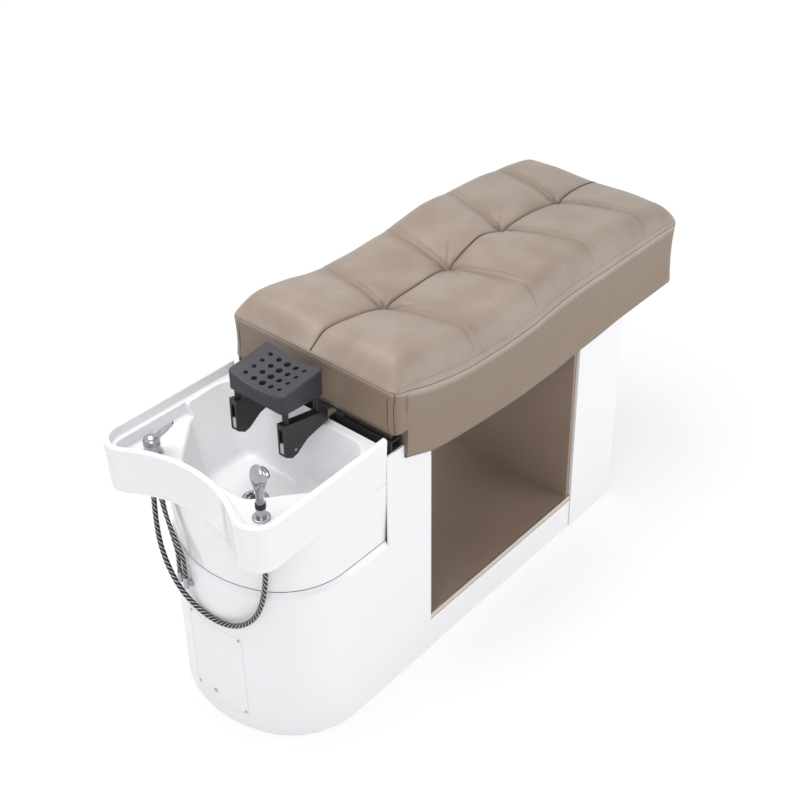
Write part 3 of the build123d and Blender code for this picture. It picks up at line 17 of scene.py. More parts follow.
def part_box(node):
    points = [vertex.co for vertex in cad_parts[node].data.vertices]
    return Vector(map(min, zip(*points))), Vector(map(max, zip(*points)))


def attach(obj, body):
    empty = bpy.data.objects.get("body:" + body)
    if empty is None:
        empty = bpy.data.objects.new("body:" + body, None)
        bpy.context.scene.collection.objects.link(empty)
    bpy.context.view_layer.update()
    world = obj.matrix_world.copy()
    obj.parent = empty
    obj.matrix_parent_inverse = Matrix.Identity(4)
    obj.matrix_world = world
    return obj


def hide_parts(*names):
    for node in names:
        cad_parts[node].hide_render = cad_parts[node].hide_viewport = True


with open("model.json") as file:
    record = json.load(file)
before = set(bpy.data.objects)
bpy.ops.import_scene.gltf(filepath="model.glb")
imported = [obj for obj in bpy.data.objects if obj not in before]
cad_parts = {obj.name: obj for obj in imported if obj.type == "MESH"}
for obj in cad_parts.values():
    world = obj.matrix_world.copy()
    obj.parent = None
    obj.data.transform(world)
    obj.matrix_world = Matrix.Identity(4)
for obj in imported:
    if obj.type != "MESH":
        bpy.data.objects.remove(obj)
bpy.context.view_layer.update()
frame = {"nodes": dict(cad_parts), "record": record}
nodes = frame["nodes"]
print("pieces in the frame:", len(nodes))

# %% [markdown]
# ## The camera
# The picture was taken from above the near side of the basin with a fairly long lens.
# The place, the turn and the lens were fitted to corners of the model that can be found in the picture.

# %% Camera
camera_place = Vector((2.1033, -2.4813, 2.9254))
camera_azimuth = math.radians(41.069)
camera_elevation = math.radians(32.104)
camera_roll = math.radians(-0.709)
lens_mm = 64.81
picture_shift = -0.12
sensor_mm = 36


def add_object(name, data):
    """A new object in the scene."""
    thing = bpy.data.objects.new(name, data)
    bpy.context.scene.collection.objects.link(thing)
    return thing


def aim(azimuth, elevation, roll):
    """The camera's turn: it looks along -Z of its own frame."""
    level = math.cos(elevation)
    forward = Vector((-math.sin(azimuth) * level, math.cos(azimuth) * level, -math.sin(elevation)))
    side = forward.cross(Vector((0, 0, 1))).normalized()
    above = side.cross(forward)
    right = side * math.cos(roll) + above * math.sin(roll)
    up = above * math.cos(roll) - side * math.sin(roll)
    return Matrix((right, up, -forward)).transposed().to_4x4()


camera_data = bpy.data.cameras.new("camera")
camera_data.lens = lens_mm
camera_data.sensor_width = sensor_mm
camera_data.shift_y = picture_shift
camera = add_object("camera", camera_data)
camera.matrix_world = Matrix.Translation(camera_place) @ aim(camera_azimuth, camera_elevation, camera_roll)
bpy.context.scene.camera = camera
print("camera at", [round(v, 3) for v in camera_place])

# %% [markdown]
# ## Helpers for materials
# Colours are written as the hex values that a screen shows. Blender works in linear light, so one function
# turns them over. A finish is then one call: two shades and how many spots of them fit in a metre, a range
# of roughness, and a fine grain.

# %% Material helpers


def colour(hex_value):
    """A screen colour such as #C0A080 as linear red, green, blue and alpha."""
    parts = [int(hex_value[place:place + 2], 16) / 255 for place in (1, 3, 5)]
    linear = [c / 12.92 if c <= 0.04045 else ((c + 0.055) / 1.055) ** 2.4 for c in parts]
    return (*linear, 1.0)


def add_node(tree, kind, inputs=None, **settings):
    """Adds a node, applies its settings, and gives each named input a value or a link."""
    node = tree.nodes.new(kind)
    for name, value in settings.items():
        setattr(node, name, value)
    for socket, value in (inputs or {}).items():
        if isinstance(value, bpy.types.NodeSocket):
            tree.links.new(value, node.inputs[socket])
        else:
            node.inputs[socket].default_value = value
    return node


def new_material(name, **values):
    """A material with one Principled shader; its plain values are set on the shader's own sockets."""
    material = bpy.data.materials.new(name)
    material.use_nodes = True
    shader = material.node_tree.nodes["Principled BSDF"]
    for socket, value in values.items():
        shader.inputs[socket.replace("_", " ")].default_value = value
    return material, material.node_tree, shader


def calculate(tree, operation, *values):
    """One sum between sockets or plain numbers."""
    return add_node(tree, "ShaderNodeMath", dict(enumerate(values)), operation=operation).outputs["Value"]


def kept_on_mesh(tree, name):
    """A number that the mesh carries at each point, for a material to read."""
    return add_node(tree, "ShaderNodeAttribute", attribute_name=name).outputs["Fac"]


def mix_colour(tree, factor, first, second):
    """Mixes two colours, either of which may be a link."""
    mix = add_node(tree, "ShaderNodeMix", {"Factor": factor}, data_type="RGBA")
    colour_inputs = [socket for socket in mix.inputs if socket.type == "RGBA"]
    for socket, value in zip(colour_inputs, (first, second)):
        if isinstance(value, bpy.types.NodeSocket):
            tree.links.new(value, socket)
        else:
            socket.default_value = value
    return next(socket for socket in mix.outputs if socket.type == "RGBA")


def mottle(tree, shader, dark, light, spots, detail=4.0, low=0.35, high=0.65, stretch=None):
    """Colour that drifts between two near shades, as a real surface does."""
    place = add_node(tree, "ShaderNodeTexCoord").outputs["Object"]
    if stretch:
        place = add_node(tree, "ShaderNodeMapping", {"Vector": place, "Scale": stretch}).outputs["Vector"]
    noise = add_node(tree, "ShaderNodeTexNoise", {"Vector": place, "Scale": spots, "Detail": detail})
    spread = add_node(
        tree, "ShaderNodeMapRange", {"Value": noise.outputs["Fac"], "From Min": low, "From Max": high}
    )
    drift = spread.outputs["Result"]
    tree.links.new(mix_colour(tree, drift, colour(dark), colour(light)), shader.inputs["Base Color"])
    return drift, place


def vary_roughness(tree, shader, factor, low, high):
    """Roughness that follows the same drift as the colour."""
    spread = add_node(tree, "ShaderNodeMapRange", {"Value": factor, "To Min": low, "To Max": high})
    tree.links.new(spread.outputs["Result"], shader.inputs["Roughness"])


def bump(tree, shader, height, depth_mm):
    """Small relief, with its real depth in millimetres."""
    node = add_node(tree, "ShaderNodeBump", {"Height": height, "Distance": depth_mm / 1000, "Strength": 1.0})
    tree.links.new(node.outputs["Normal"], shader.inputs["Normal"])


def finish(name, dark, light, spots, rough=None, grain=None, pattern=None, **values):
    """A whole finish. Its grain is given as spots per metre, detail and depth in millimetres."""
    material, tree, shader = new_material(name, **values)
    drift, place = mottle(tree, shader, dark, light, spots, **(pattern or {}))
    if rough:
        vary_roughness(tree, shader, drift, *rough)
    if grain:
        fine_spots, detail, depth_mm = grain
        noise = add_node(tree, "ShaderNodeTexNoise", {"Vector": place, "Scale": fine_spots, "Detail": detail})
        bump(tree, shader, noise.outputs["Fac"], depth_mm)
    return material


# %% [markdown]
# ## Hoses, first as lines
# Three hoses hang at the head end. The hand shower's hose makes one free loop round the column,
# from under the mixer tap to the guide tube below the hand shower. Two short hoses bring hot and cold water.
# Each follows a smooth NURBS line, whose control points were chosen so that it falls on the hose
# in the picture.

# %% Hose routes
shower_route = [
    (-0.196, -0.785, 0.678), (-0.196, -0.785, 0.630), (-0.1921, -0.790, 0.582), (-0.1859, -0.795, 0.535),
    (-0.1746, -0.800, 0.488), (-0.1551, -0.804, 0.445), (-0.1253, -0.808, 0.406), (-0.0863, -0.812, 0.378),
    (-0.0390, -0.814, 0.363), (0.0092, -0.814, 0.357), (0.0586, -0.812, 0.362), (0.1038, -0.807, 0.380),
    (0.1407, -0.800, 0.411), (0.1664, -0.793, 0.451), (0.1798, -0.786, 0.497), (0.1859, -0.781, 0.544),
    (0.188, -0.777, 0.592), (0.188, -0.777, 0.640),
]
cold_route = [
    (-0.177, -0.780, 0.678), (-0.177, -0.780, 0.654), (-0.1717, -0.7828, 0.6238),
    (-0.1563, -0.7885, 0.5969), (-0.1357, -0.7955, 0.5733), (-0.1133, -0.8023, 0.5512),
    (-0.0915, -0.8080, 0.5286), (-0.0732, -0.8120, 0.5035), (-0.0649, -0.8175, 0.474),
    (-0.0649, -0.8175, 0.450),
]
hot_route = [
    (-0.189, -0.766, 0.678), (-0.189, -0.766, 0.654), (-0.1848, -0.7693, 0.6248),
    (-0.1722, -0.7763, 0.5981), (-0.1546, -0.7849, 0.5741), (-0.1351, -0.7932, 0.5513),
    (-0.1162, -0.8003, 0.5282), (-0.1008, -0.8052, 0.5028), (-0.0941, -0.8109, 0.474),
    (-0.0941, -0.8109, 0.450),
]


def new_line(name, points, kind="POLY", closed=False):
    """A curve object with one spline along a chain of points."""
    data = bpy.data.curves.new(name, "CURVE")
    data.dimensions = "3D"
    spline = data.splines.new(kind)
    spline.points.add(len(points) - 1)
    for point, place in zip(spline.points, points):
        point.co = (*place, 1)
    spline.use_cyclic_u = closed
    return add_object(name, data)


def hose_line(name, route):
    """A smooth NURBS line with the route's bends as its control points."""
    line = new_line(name, route, kind="NURBS")
    line.data.resolution_u = 12
    spline = line.data.splines[0]
    spline.order_u = 3
    spline.use_endpoint_u = True
    return line


def line_mesh(line):
    """What Blender itself makes of a line, as a mesh."""
    bpy.context.view_layer.update()
    return bpy.data.meshes.new_from_object(line.evaluated_get(bpy.context.evaluated_depsgraph_get()))


def line_points(line):
    """The points along a smooth line."""
    mesh = line_mesh(line)
    points = [vertex.co.copy() for vertex in mesh.vertices]
    bpy.data.meshes.remove(mesh)
    return points


def line_length(points):
    """The length of a chain of points."""
    return sum((b - a).length for a, b in zip(points, points[1:]))


hose_lines = {}
for name, route in (("shower_hose", shower_route), ("cold_hose", cold_route), ("hot_hose", hot_route)):
    hose_lines[name] = hose_line(name + "_line", route)
    print(name, "line is", round(line_length(line_points(hose_lines[name])), 4), "m long")

# %% [markdown]
# ## Finishes
# Each material starts from what the real thing most likely is and how its surface was made.
# Patterns are sized in real millimetres, and read Object coordinates, so they stay put when a piece moves.
# The lamps below are stronger than a plain level, and the colours of the leather and of the white parts were
# lowered to make up for it. They are darker than the real ones. Weaker lamps would be the better way.

# %% White gel coat of the basin
# Glass-fibre gel coat is poured against a polished mould: very glossy, with a faint long wave in it.
# Both white finishes drift slowly between two shades that nearly match.
slow_drift = {"detail": 1.0, "low": 0.1, "high": 0.9}
gel_coat = finish(
    "polished_gel_coat", "#E9E8EA", "#EAE9EB", 2, rough=(0.10, 0.18), grain=(55, 2.0, 0.06),
    pattern=slow_drift, Roughness=0.12, IOR=1.5, Coat_Weight=0.25,
)

# %% White lacquer of the column, plinth and leg
# Sprayed two-pack lacquer: a little softer than gel coat, with orange peel about 4 mm across.
lacquer = finish(
    "sprayed_white_lacquer", "#E9E9EB", "#EAEAEC", 2, rough=(0.18, 0.28), grain=(240, 1.0, 0.03),
    pattern=slow_drift, Roughness=0.22, IOR=1.5,
)

# %% Leather of the cushion
# Corrected-grain upholstery leather: small cells between creases, about 2 mm wide, and a satin finish.
# The mesh carries three values. The first is a painted shade: darker along the middle seam, at the tufts
# and in the creases. The second makes the leather lighter along the top edges and near the two ends.
# The third marks the side bands, which get a painted shade to match the picture.
leather, tree, shader = new_material("taupe_upholstery_leather", Roughness=0.42, IOR=1.48, Sheen_Weight=0.08)
place = add_node(tree, "ShaderNodeTexCoord").outputs["Object"]
cloud = add_node(tree, "ShaderNodeTexNoise", {"Vector": place, "Scale": 9, "Detail": 5.0})
cells = add_node(tree, "ShaderNodeTexVoronoi", {"Vector": place, "Scale": 420}, feature="DISTANCE_TO_EDGE")
grain = add_node(tree, "ShaderNodeMapRange", {"Value": cells.outputs["Distance"], "From Max": 0.12})
ramp = add_node(tree, "ShaderNodeValToRGB", {"Fac": cloud.outputs["Fac"]})
for element, place_share, shade in zip(ramp.color_ramp.elements, (0.35, 0.68), ("#8B7B6D", "#97897C")):
    element.position = place_share
    element.color = colour(shade)
side_shade_strength = 0.7
edge_lightening_strength = 0.35
# Painted shade: creases, tufts and the middle seam are mixed towards a dark brown.
shaded = mix_colour(tree, kept_on_mesh(tree, "painted_crease_shade"), ramp.outputs["Color"], colour("#6A5747"))
# Painted shade: the side bands and end walls are mixed towards a darker brown.
side_shade_share = calculate(tree, "MULTIPLY", kept_on_mesh(tree, "painted_side_shade"), side_shade_strength)
shaded = mix_colour(tree, side_shade_share, shaded, colour("#78644F"))
# Lighter, towards a pale taupe, along the top edges and near the two ends.
edge_lightening_share = calculate(tree, "MULTIPLY", kept_on_mesh(tree, "edge_lightening"), edge_lightening_strength)
lightened_leather = mix_colour(tree, edge_lightening_share, shaded, colour("#C4B3A2"))
tree.links.new(lightened_leather, shader.inputs["Base Color"])
vary_roughness(tree, shader, cloud.outputs["Fac"], 0.36, 0.50)
bump(tree, shader, grain.outputs["Result"], 0.05)

# %% Thread and piping
# Bonded nylon thread, and the painted shadow: a dark line where two leather panels meet.
thread = finish("bonded_nylon_thread", "#4E4138", "#64564B", 900, Roughness=0.55, Sheen_Weight=0.2)
seam_shadow_material = finish("painted_seam_shadow", "#1D1512", "#2C211B", 300, Roughness=0.7)

# %% Rubber of the neck rest
# Moulded soft polyurethane rubber: matt, slightly patchy, with a fine skin.
rubber = finish(
    "moulded_soft_rubber", "#2C292F", "#353239", 30, rough=(0.45, 0.62), grain=(700, 3.0, 0.12),
    Roughness=0.55, IOR=1.5,
)
dark_rubber = finish(
    "black_nitrile_rubber", "#1A1A1B", "#242426", 60, rough=(0.5, 0.7), Roughness=0.6, IOR=1.5
)

# %% Moulded plastics
# The brackets are glass-filled nylon with a fine spark-eroded texture, the drain parts plain polypropylene.
nylon = finish(
    "glass_filled_nylon", "#161617", "#202022", 40, rough=(0.34, 0.48), grain=(900, 2.0, 0.05),
    Roughness=0.4, IOR=1.52,
)
pale_plastic = finish("pale_moulded_insert", "#B4B6B8", "#C4C6C8", 80, Roughness=0.35)
polypropylene = finish("grey_polypropylene", "#43464A", "#4E5155", 40, rough=(0.35, 0.5), Roughness=0.4)
# The reveals are matt near-black: a dark finish that also paints in the shade of their gaps.
matt_black = finish("matt_black_reveal", "#1E1A18", "#2A2522", 50, Roughness=0.75)

# %% Metals
# Chrome plate is a mirror with faint finger marks. Its tint is darker than real plate, which would turn
# nearly white in these white surroundings. Stainless steel is brushed along one way.
# The frame is powder coated: dark, with a pebbled skin about 1.5 mm across.
brushed_along_x = {"stretch": (1.0, 30.0, 30.0)}
brushed_along_y = {"stretch": (30.0, 1.0, 30.0)}
chrome = finish(
    "polished_chrome_plate", "#A4A6AA", "#B0B2B6", 60, rough=(0.03, 0.10), Metallic=1.0, Roughness=0.05
)
stainless = finish(
    "brushed_stainless_steel", "#A9ABAD", "#BFC1C3", 40, rough=(0.22, 0.38), pattern=brushed_along_x,
    Metallic=1.0, Roughness=0.3,
)
anodised = finish(
    "satin_anodised_aluminium", "#C9C2B8", "#D8D2C9", 30, rough=(0.28, 0.42), pattern=brushed_along_y,
    Metallic=1.0, Roughness=0.35,
)
powder_coat = finish("black_powder_coat", "#2A2B2D", "#343538", 40, grain=(650, 1.0, 0.08), Roughness=0.5)

# %% Boards and timber
# The cubby is lined with taupe melamine board, printed and pressed with a fine pore. The seat board is birch
# plywood, whose figure runs along the bed and stands out a little.
melamine = finish(
    "taupe_melamine_board", "#8C7A6D", "#917F71", 6, rough=(0.32, 0.45), grain=(800, 2.0, 0.04),
    Roughness=0.38,
)
plywood, tree, shader = new_material("birch_plywood", Roughness=0.55)
figure = mottle(tree, shader, "#A98458", "#C9A878", 60, low=0.3, high=0.7, stretch=(12.0, 1.0, 12.0))[0]
vary_roughness(tree, shader, figure, 0.48, 0.62)
bump(tree, shader, figure, 0.1)

# %% [markdown]
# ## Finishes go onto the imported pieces
# The record names a material slot for each piece, so one table is enough to dress them all.

# %% Dress the frame
finishes = {
    "white_shell": lacquer, "basin": gel_coat, "cushion": leather, "pad": rubber, "bracket": nylon,
    "insert": pale_plastic, "chrome": chrome, "dark_rubber": dark_rubber, "braid": dark_rubber,
    "steel": stainless, "frame_steel": powder_coat, "screw": stainless, "board": melamine, "wall": melamine,
    "edge": anodised, "reveal": matt_black, "wood": plywood, "drain_plastic": polypropylene,
    "pipe_metal": chrome,
}
for entry in frame["record"]["subparts"]:
    node = nodes[entry["node"]]
    node.data.materials.clear()
    node.data.materials.append(finishes[entry["material_slot"]])

# %% [markdown]
# ## Building blocks for new pieces
# A new piece is a plain mesh in room coordinates, with its object at the origin.
# Geometry Nodes trees are built by script, run once, and turned into plain meshes.

# %% Piece helpers


def mesh_piece(name, mesh, body):
    """Puts a finished mesh into the scene as a smooth piece that rides on a body."""
    mesh.name = name
    mesh.polygons.foreach_set("use_smooth", [True] * len(mesh.polygons))
    piece = add_object(name, mesh)
    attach(piece, body)
    return piece


def new_piece(name, points, faces, material, body):
    """A piece from points and faces."""
    mesh = bpy.data.meshes.new(name)
    mesh.from_pydata([tuple(point) for point in points], [], faces)
    mesh.materials.append(material)
    return mesh_piece(name, mesh, body)


def new_tree(name, numbers):
    """A Geometry Nodes tree that takes numbers and a material; gives it, its inputs and its way out."""
    tree = bpy.data.node_groups.new(name, "GeometryNodeTree")
    tree.interface.new_socket("Geometry", in_out="INPUT", socket_type="NodeSocketGeometry")
    tree.interface.new_socket("Geometry", in_out="OUTPUT", socket_type="NodeSocketGeometry")
    for label in numbers:
        tree.interface.new_socket(label, in_out="INPUT", socket_type="NodeSocketFloat")
    tree.interface.new_socket("Material", in_out="INPUT", socket_type="NodeSocketMaterial")
    group_in = tree.nodes.new("NodeGroupInput")
    group_out = tree.nodes.new("NodeGroupOutput")
    return tree, group_in.outputs, group_out.inputs["Geometry"]


def end_tree(tree, geometry, material, way_out):
    """The last steps of a tree: instances become real, take their material and go out."""
    real = add_node(tree, "GeometryNodeRealizeInstances", {"Geometry": geometry})
    coated = add_node(
        tree, "GeometryNodeSetMaterial", {"Geometry": real.outputs["Geometry"], "Material": material}
    )
    tree.links.new(coated.outputs["Geometry"], way_out)


def grow(carrier, tree, values):
    """Runs a tree once on an object and returns its result as a plain mesh; the carrier goes."""
    modifier = carrier.modifiers.new(tree.name, "NODES")
    modifier.node_group = tree
    incoming = [item for item in tree.interface.items_tree if item.in_out == "INPUT"]
    identifiers = {item.name: item.identifier for item in incoming}
    for label, value in values.items():
        modifier[identifiers[label]] = value
    bpy.context.view_layer.update()
    graph = bpy.context.evaluated_depsgraph_get()
    mesh = bpy.data.meshes.new_from_object(carrier.evaluated_get(graph), depsgraph=graph)
    bpy.data.objects.remove(carrier)
    return mesh


def tube_faces(row_count, segments):
    """Faces that join rows of points into a closed tube with a cap at each end."""
    faces = []
    for row in range(row_count - 1):
        low = row * segments
        high = low + segments
        for step in range(segments):
            after = (step + 1) % segments
            faces.append((low + step, low + after, high + after, high + step))
    faces.append(tuple(reversed(range(segments))))
    faces.append(tuple(range((row_count - 1) * segments, row_count * segments)))
    return faces


def lathe(name, profile, foot, material, body, segments=48):
    """A turned upright piece: the profile's radii and heights go round a line that stands on its foot."""
    points = []
    for radius, height in profile:
        for step in range(segments):
            angle = 2 * math.pi * step / segments
            points.append(Vector(foot) + Vector((radius * math.cos(angle), radius * math.sin(angle), height)))
    return new_piece(name, points, tube_faces(len(profile), segments), material, body)


# %% [markdown]
# ## Hoses, now with their braid
# Each hose is black rubber under a spiral of steel strands. A Geometry Nodes tree sweeps a ring along the
# line and lifts it where a strand passes. The material reads the same wave as the value "strand".

# %% Braid material
# Steel strands over black rubber: the strand value decides which of the two shows.
braid, tree, shader = new_material("steel_braided_hose", Roughness=0.35)
steel_range = {"Value": kept_on_mesh(tree, "strand"), "From Min": 0.6, "From Max": 0.9}
steel_share = add_node(tree, "ShaderNodeMapRange", steel_range).outputs["Result"]
strands_on_rubber = mix_colour(tree, steel_share, colour("#0E0E0F"), colour("#D0D2D5"))
tree.links.new(strands_on_rubber, shader.inputs["Base Color"])
tree.links.new(steel_share, shader.inputs["Metallic"])

# %% Hose tree


def keep_value(tree, geometry, name, value):
    """Keeps a number at each point under a name, for later steps and for materials."""
    values = {"Geometry": geometry, "Name": name, "Value": value}
    return add_node(tree, "GeometryNodeStoreNamedAttribute", values, data_type="FLOAT").outputs["Geometry"]


def read_value(tree, name):
    """Reads back a number that keep_value kept."""
    read = add_node(tree, "GeometryNodeInputNamedAttribute", {"Name": name}, data_type="FLOAT")
    return read.outputs["Attribute"]


hose_tree, given, way_out = new_tree("braided_hose", ("Radius", "Pitch", "Strands", "Lift"))
ring_step = 0.0016
ring_resolution = 48
even = add_node(
    hose_tree, "GeometryNodeResampleCurve", {"Curve": given["Geometry"], "Length": ring_step}, mode="LENGTH"
)
run = add_node(hose_tree, "GeometryNodeSplineParameter").outputs["Length"]
ring = add_node(
    hose_tree, "GeometryNodeCurvePrimitiveCircle", {"Resolution": ring_resolution, "Radius": given["Radius"]}
)
turn = add_node(hose_tree, "GeometryNodeSplineParameter").outputs["Factor"]
tube = add_node(
    hose_tree, "GeometryNodeCurveToMesh",
    {
        "Curve": keep_value(hose_tree, even.outputs["Curve"], "run", run),
        "Profile Curve": keep_value(hose_tree, ring.outputs["Curve"], "turn", turn), "Fill Caps": True,
    },
)
turns = calculate(hose_tree, "DIVIDE", read_value(hose_tree, "run"), given["Pitch"])
starts = calculate(hose_tree, "MULTIPLY", read_value(hose_tree, "turn"), given["Strands"])
phase = calculate(hose_tree, "ADD", turns, starts)
wave = calculate(hose_tree, "SINE", calculate(hose_tree, "MULTIPLY", phase, 2 * math.pi))
waved = keep_value(hose_tree, tube.outputs["Mesh"], "strand", wave)
outward = add_node(
    hose_tree, "ShaderNodeVectorMath",
    {
        0: add_node(hose_tree, "GeometryNodeInputNormal").outputs["Normal"],
        "Scale": calculate(hose_tree, "MULTIPLY", wave, given["Lift"]),
    },
    operation="SCALE",
)
lifted = add_node(
    hose_tree, "GeometryNodeSetPosition", {"Geometry": waved, "Offset": outward.outputs["Vector"]}
)
end_tree(hose_tree, lifted.outputs["Geometry"], given["Material"], way_out)

# %% Hoses
# For each hose its radius, its length in metres and what its far end goes into.
hose_facts = {
    "shower_hose": (0.0070, 0.821, "object"),
    "cold_hose": (0.0055, 0.268, "object"),
    "hot_hose": (0.0055, 0.260, "object"),
}
strand_lift = 0.00035
strand_pitch = 0.014
strand_count = 4.0
hoses = {}
for name, (radius, length, far_end) in hose_facts.items():
    path = line_points(hose_lines[name])
    hose_values = {
        "Radius": radius - strand_lift, "Pitch": strand_pitch, "Strands": strand_count,
        "Lift": strand_lift, "Material": braid,
    }
    mesh = grow(hose_lines[name], hose_tree, hose_values)
    hose = mesh_piece(name + "_braided", mesh, "root")
    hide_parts(name)
    hoses[name] = (hose, path, length, radius * 2, far_end)
    print(name, "has", len(mesh.polygons), "faces")

# %% [markdown]
# ## Ferrules
# Each hose is crimped into a steel sleeve under the mixer tap. A turned profile with three crimp
# grooves shows how the sleeve grips the hose, which a plain cylinder would not.

# %% Ferrules
ferrule_height = 0.022
ferrule_radii = {"shower_hose": 0.0085, "cold_hose": 0.007, "hot_hose": 0.007}
mouth_share, lip_share, groove_share, top_share = 0.80, 0.94, 0.90, 0.92
crimp_start_shares = (0.14, 0.34, 0.54)
last_band_share = 0.76
lip_rise = 0.0008
crimp_steps = (0.0018, 0.0026, 0.0034)
top_chamfer = 0.001


def crimped(radius, height):
    """The outline of a sleeve with three crimp grooves."""
    profile = [(radius * mouth_share, 0.0), (radius * lip_share, lip_rise)]
    for start_share in crimp_start_shares:
        base = height * start_share
        band, slope, floor = (base + step for step in crimp_steps)
        groove = radius * groove_share
        profile += [(radius, base), (radius, band), (groove, slope), (groove, floor)]
    last_band = (radius, height * last_band_share)
    return profile + [last_band, (radius, height - top_chamfer), (radius * top_share, height)]


for name, radius in ferrule_radii.items():
    foot = hoses[name][1][0]
    outline = crimped(radius, ferrule_height)
    lathe(name + "_ferrule", outline, foot, stainless, "root")
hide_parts("hose_ferrules")
print("declared", len(hoses), "hoses")

# %% [markdown]
# ## The cushion
# The leather cover has a top in two halves and a side band, which is joined at the two corners at the head.
# Its top is split along the middle, and four tufts pull it down, so ten pillows rise between them.
# The height of every point comes from smooth profiles, and folds are pressed in where the thread pulls.

# %% Profiles along the cushion, in millimetres from its head end
cushion_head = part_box("cushion")[0].y
length_mm = 1290.0
half_mm = 280.0
head_corner = 24.0
foot_corner = 42.0
seam_profile = np.array([
    (0, 938), (57, 917), (132, 891), (210, 873), (290, 860), (372, 854), (457, 850), (544, 850), (633, 858),
    (725, 864), (820, 865), (918, 863), (1019, 862), (1124, 861), (1204, 860), (1290, 858),
], float)
bottom_profile = np.array([
    (0, 736), (45, 730), (95, 710), (150, 692), (255, 677), (380, 665), (512, 656), (648, 654), (753, 659),
    (891, 663), (993, 668), (1290, 668),
], float)
valley_profile = np.array([
    (0, 962), (61, 976), (153, 965), (236, 949), (278, 938), (346, 940), (469, 944), (538, 938), (632, 966),
    (676, 975), (782, 950), (870, 950), (992, 933), (1047, 928), (1119, 933), (1262, 914), (1290, 896),
], float)
crest_profile = np.array([
    (0, 968), (35, 992), (80, 1000), (160, 990), (270, 968), (415, 960), (520, 964), (617, 973), (720, 984),
    (862, 974), (985, 967), (1120, 948), (1230, 926), (1290, 896),
], float)
tuft_reaches = (278.0, 538.0, 782.0, 1047.0)


def along_profile(table, reach):
    """A smooth curve through a profile's points, with no overshoot between them."""
    xs, ys = table[:, 0], table[:, 1]
    slope = np.diff(ys) / np.diff(xs)
    product = slope[:-1] * slope[1:]
    middle = np.where(product > 0, 2 * product / (slope[:-1] + slope[1:] + 1e-12), 0)
    tangent = np.concatenate([[slope[0]], middle, [slope[-1]]])
    index = np.clip(np.searchsorted(xs, reach) - 1, 0, len(xs) - 2)
    width = xs[index + 1] - xs[index]
    t = np.clip((reach - xs[index]) / width, 0, 1)
    return (
        (2 * t**3 - 3 * t**2 + 1) * ys[index] + (t**3 - 2 * t**2 + t) * width * tangent[index]
        + (3 * t**2 - 2 * t**3) * ys[index + 1] + (t**3 - t**2) * width * tangent[index + 1]
    )


print("cushion head end at y =", round(cushion_head, 4))

# %% Folds that the tufts pull into the leather
# Each tuft gathers a fan of folds on either side, and one long double crease that runs out to a sewn dart
# near the edge. The creases drift towards the foot end on their way out.
edge_reach = 62.0
crease_reach = 262
crease_power = 1.3
crease_drift = {-1: (29.0, 26.0, 50.0, 30.0), 1: (30.0, 36.0, 56.0, 50.0)}
rays_per_side = 8
first_ray = -64
ray_step = 17
ray_shift = 6
fold_ranges = {
    "x": (2, 8), "s": (-5, 5), "bend": (-0.0016, 0.0016), "length": (70, 190), "width": (3.2, 6.5),
    "depth": (1.6, 3.6),
}
fold_random = np.random.default_rng(11)
fold_lines = []
for tuft in tuft_reaches:
    for side in (-1, 1):
        for ray in range(rays_per_side):
            angle = math.radians(first_ray + ray_step * ray + fold_random.uniform(-ray_shift, ray_shift))
            drawn = {name: fold_random.uniform(*limits) for name, limits in fold_ranges.items()}
            fold_lines.append({
                **drawn, "x": side * drawn["x"], "s": tuft + drawn["s"],
                "dx": side * math.cos(angle), "ds": math.sin(angle),
            })
fold_start = 12


def bell(distance, width):
    """One in the middle, and almost nothing at twice the width."""
    return np.exp(-((distance / width) ** 2))


def fold_relief(x, s):
    """The height that the radiating folds add: each is a groove with a soft ridge beside it."""
    total = np.zeros_like(x)
    for line in fold_lines:
        dx, ds = x - line["x"], s - line["s"]
        forward = dx * line["dx"] + ds * line["ds"]
        aside = -dx * line["ds"] + ds * line["dx"] - line["bend"] * forward**2
        share = np.clip(forward / line["length"], 0, 1)
        width = line["width"] * (0.45 + 1.6 * share)
        along = np.where(forward > 0, np.clip(forward / fold_start, 0, 1) * (1 - share) ** 1.3, 0)
        ridge = bell(aside - 1.9 * width, 1.3 * width)
        total += line["depth"] * along * (0.7 * ridge - bell(aside, width))
    return total


crease_fade = 120
dart_start, dart_rise = 236, 12
dart_end, dart_fall = 276, 8
dart_depth, dart_width = 2.2, 3.5
trough_depth, trough_depth_at_tuft, trough_width = 2.0, 7.0, 14
first_width, second_width, swell_width = 3.0, 3.5, 4.0
second_gap, swell_gap = 13, 7
crease_depth, crease_depth_at_tuft = 1.2, 1.2


def crease_swing(drift, out):
    """How far a crease has drifted towards the foot end, at a distance out from the middle."""
    return drift * (out / crease_reach) ** crease_power


def crease_relief(x, s):
    """The long double creases from each tuft to the darts at the edge."""
    out = np.abs(x)
    total = np.zeros_like(x)
    fade = np.exp(-out / crease_fade)
    dart = np.clip((out - dart_start) / dart_rise, 0, 1) * np.clip((dart_end - out) / dart_fall, 0, 1)
    depth = crease_depth + crease_depth_at_tuft * fade
    for number, tuft in enumerate(tuft_reaches):
        drift = np.where(x < 0, crease_drift[-1][number], crease_drift[1][number])
        away = s - tuft - crease_swing(drift, out)
        trough = (trough_depth + trough_depth_at_tuft * fade) * bell(away, trough_width + 0.06 * out)
        lines = bell(away, first_width) + 0.7 * bell(away - second_gap - out / 20, second_width)
        swell = 0.8 * bell(away - swell_gap - out / 40, swell_width)
        total -= trough + depth * (lines - swell) + dart_depth * dart * bell(away, dart_width)
    return total


def quarter_rise(distance):
    """A quarter-round rise from a sewn edge."""
    d = np.clip(distance / edge_reach, 0, 1)
    return np.sqrt(np.clip(1 - (1 - d) ** 2, 0, 1))


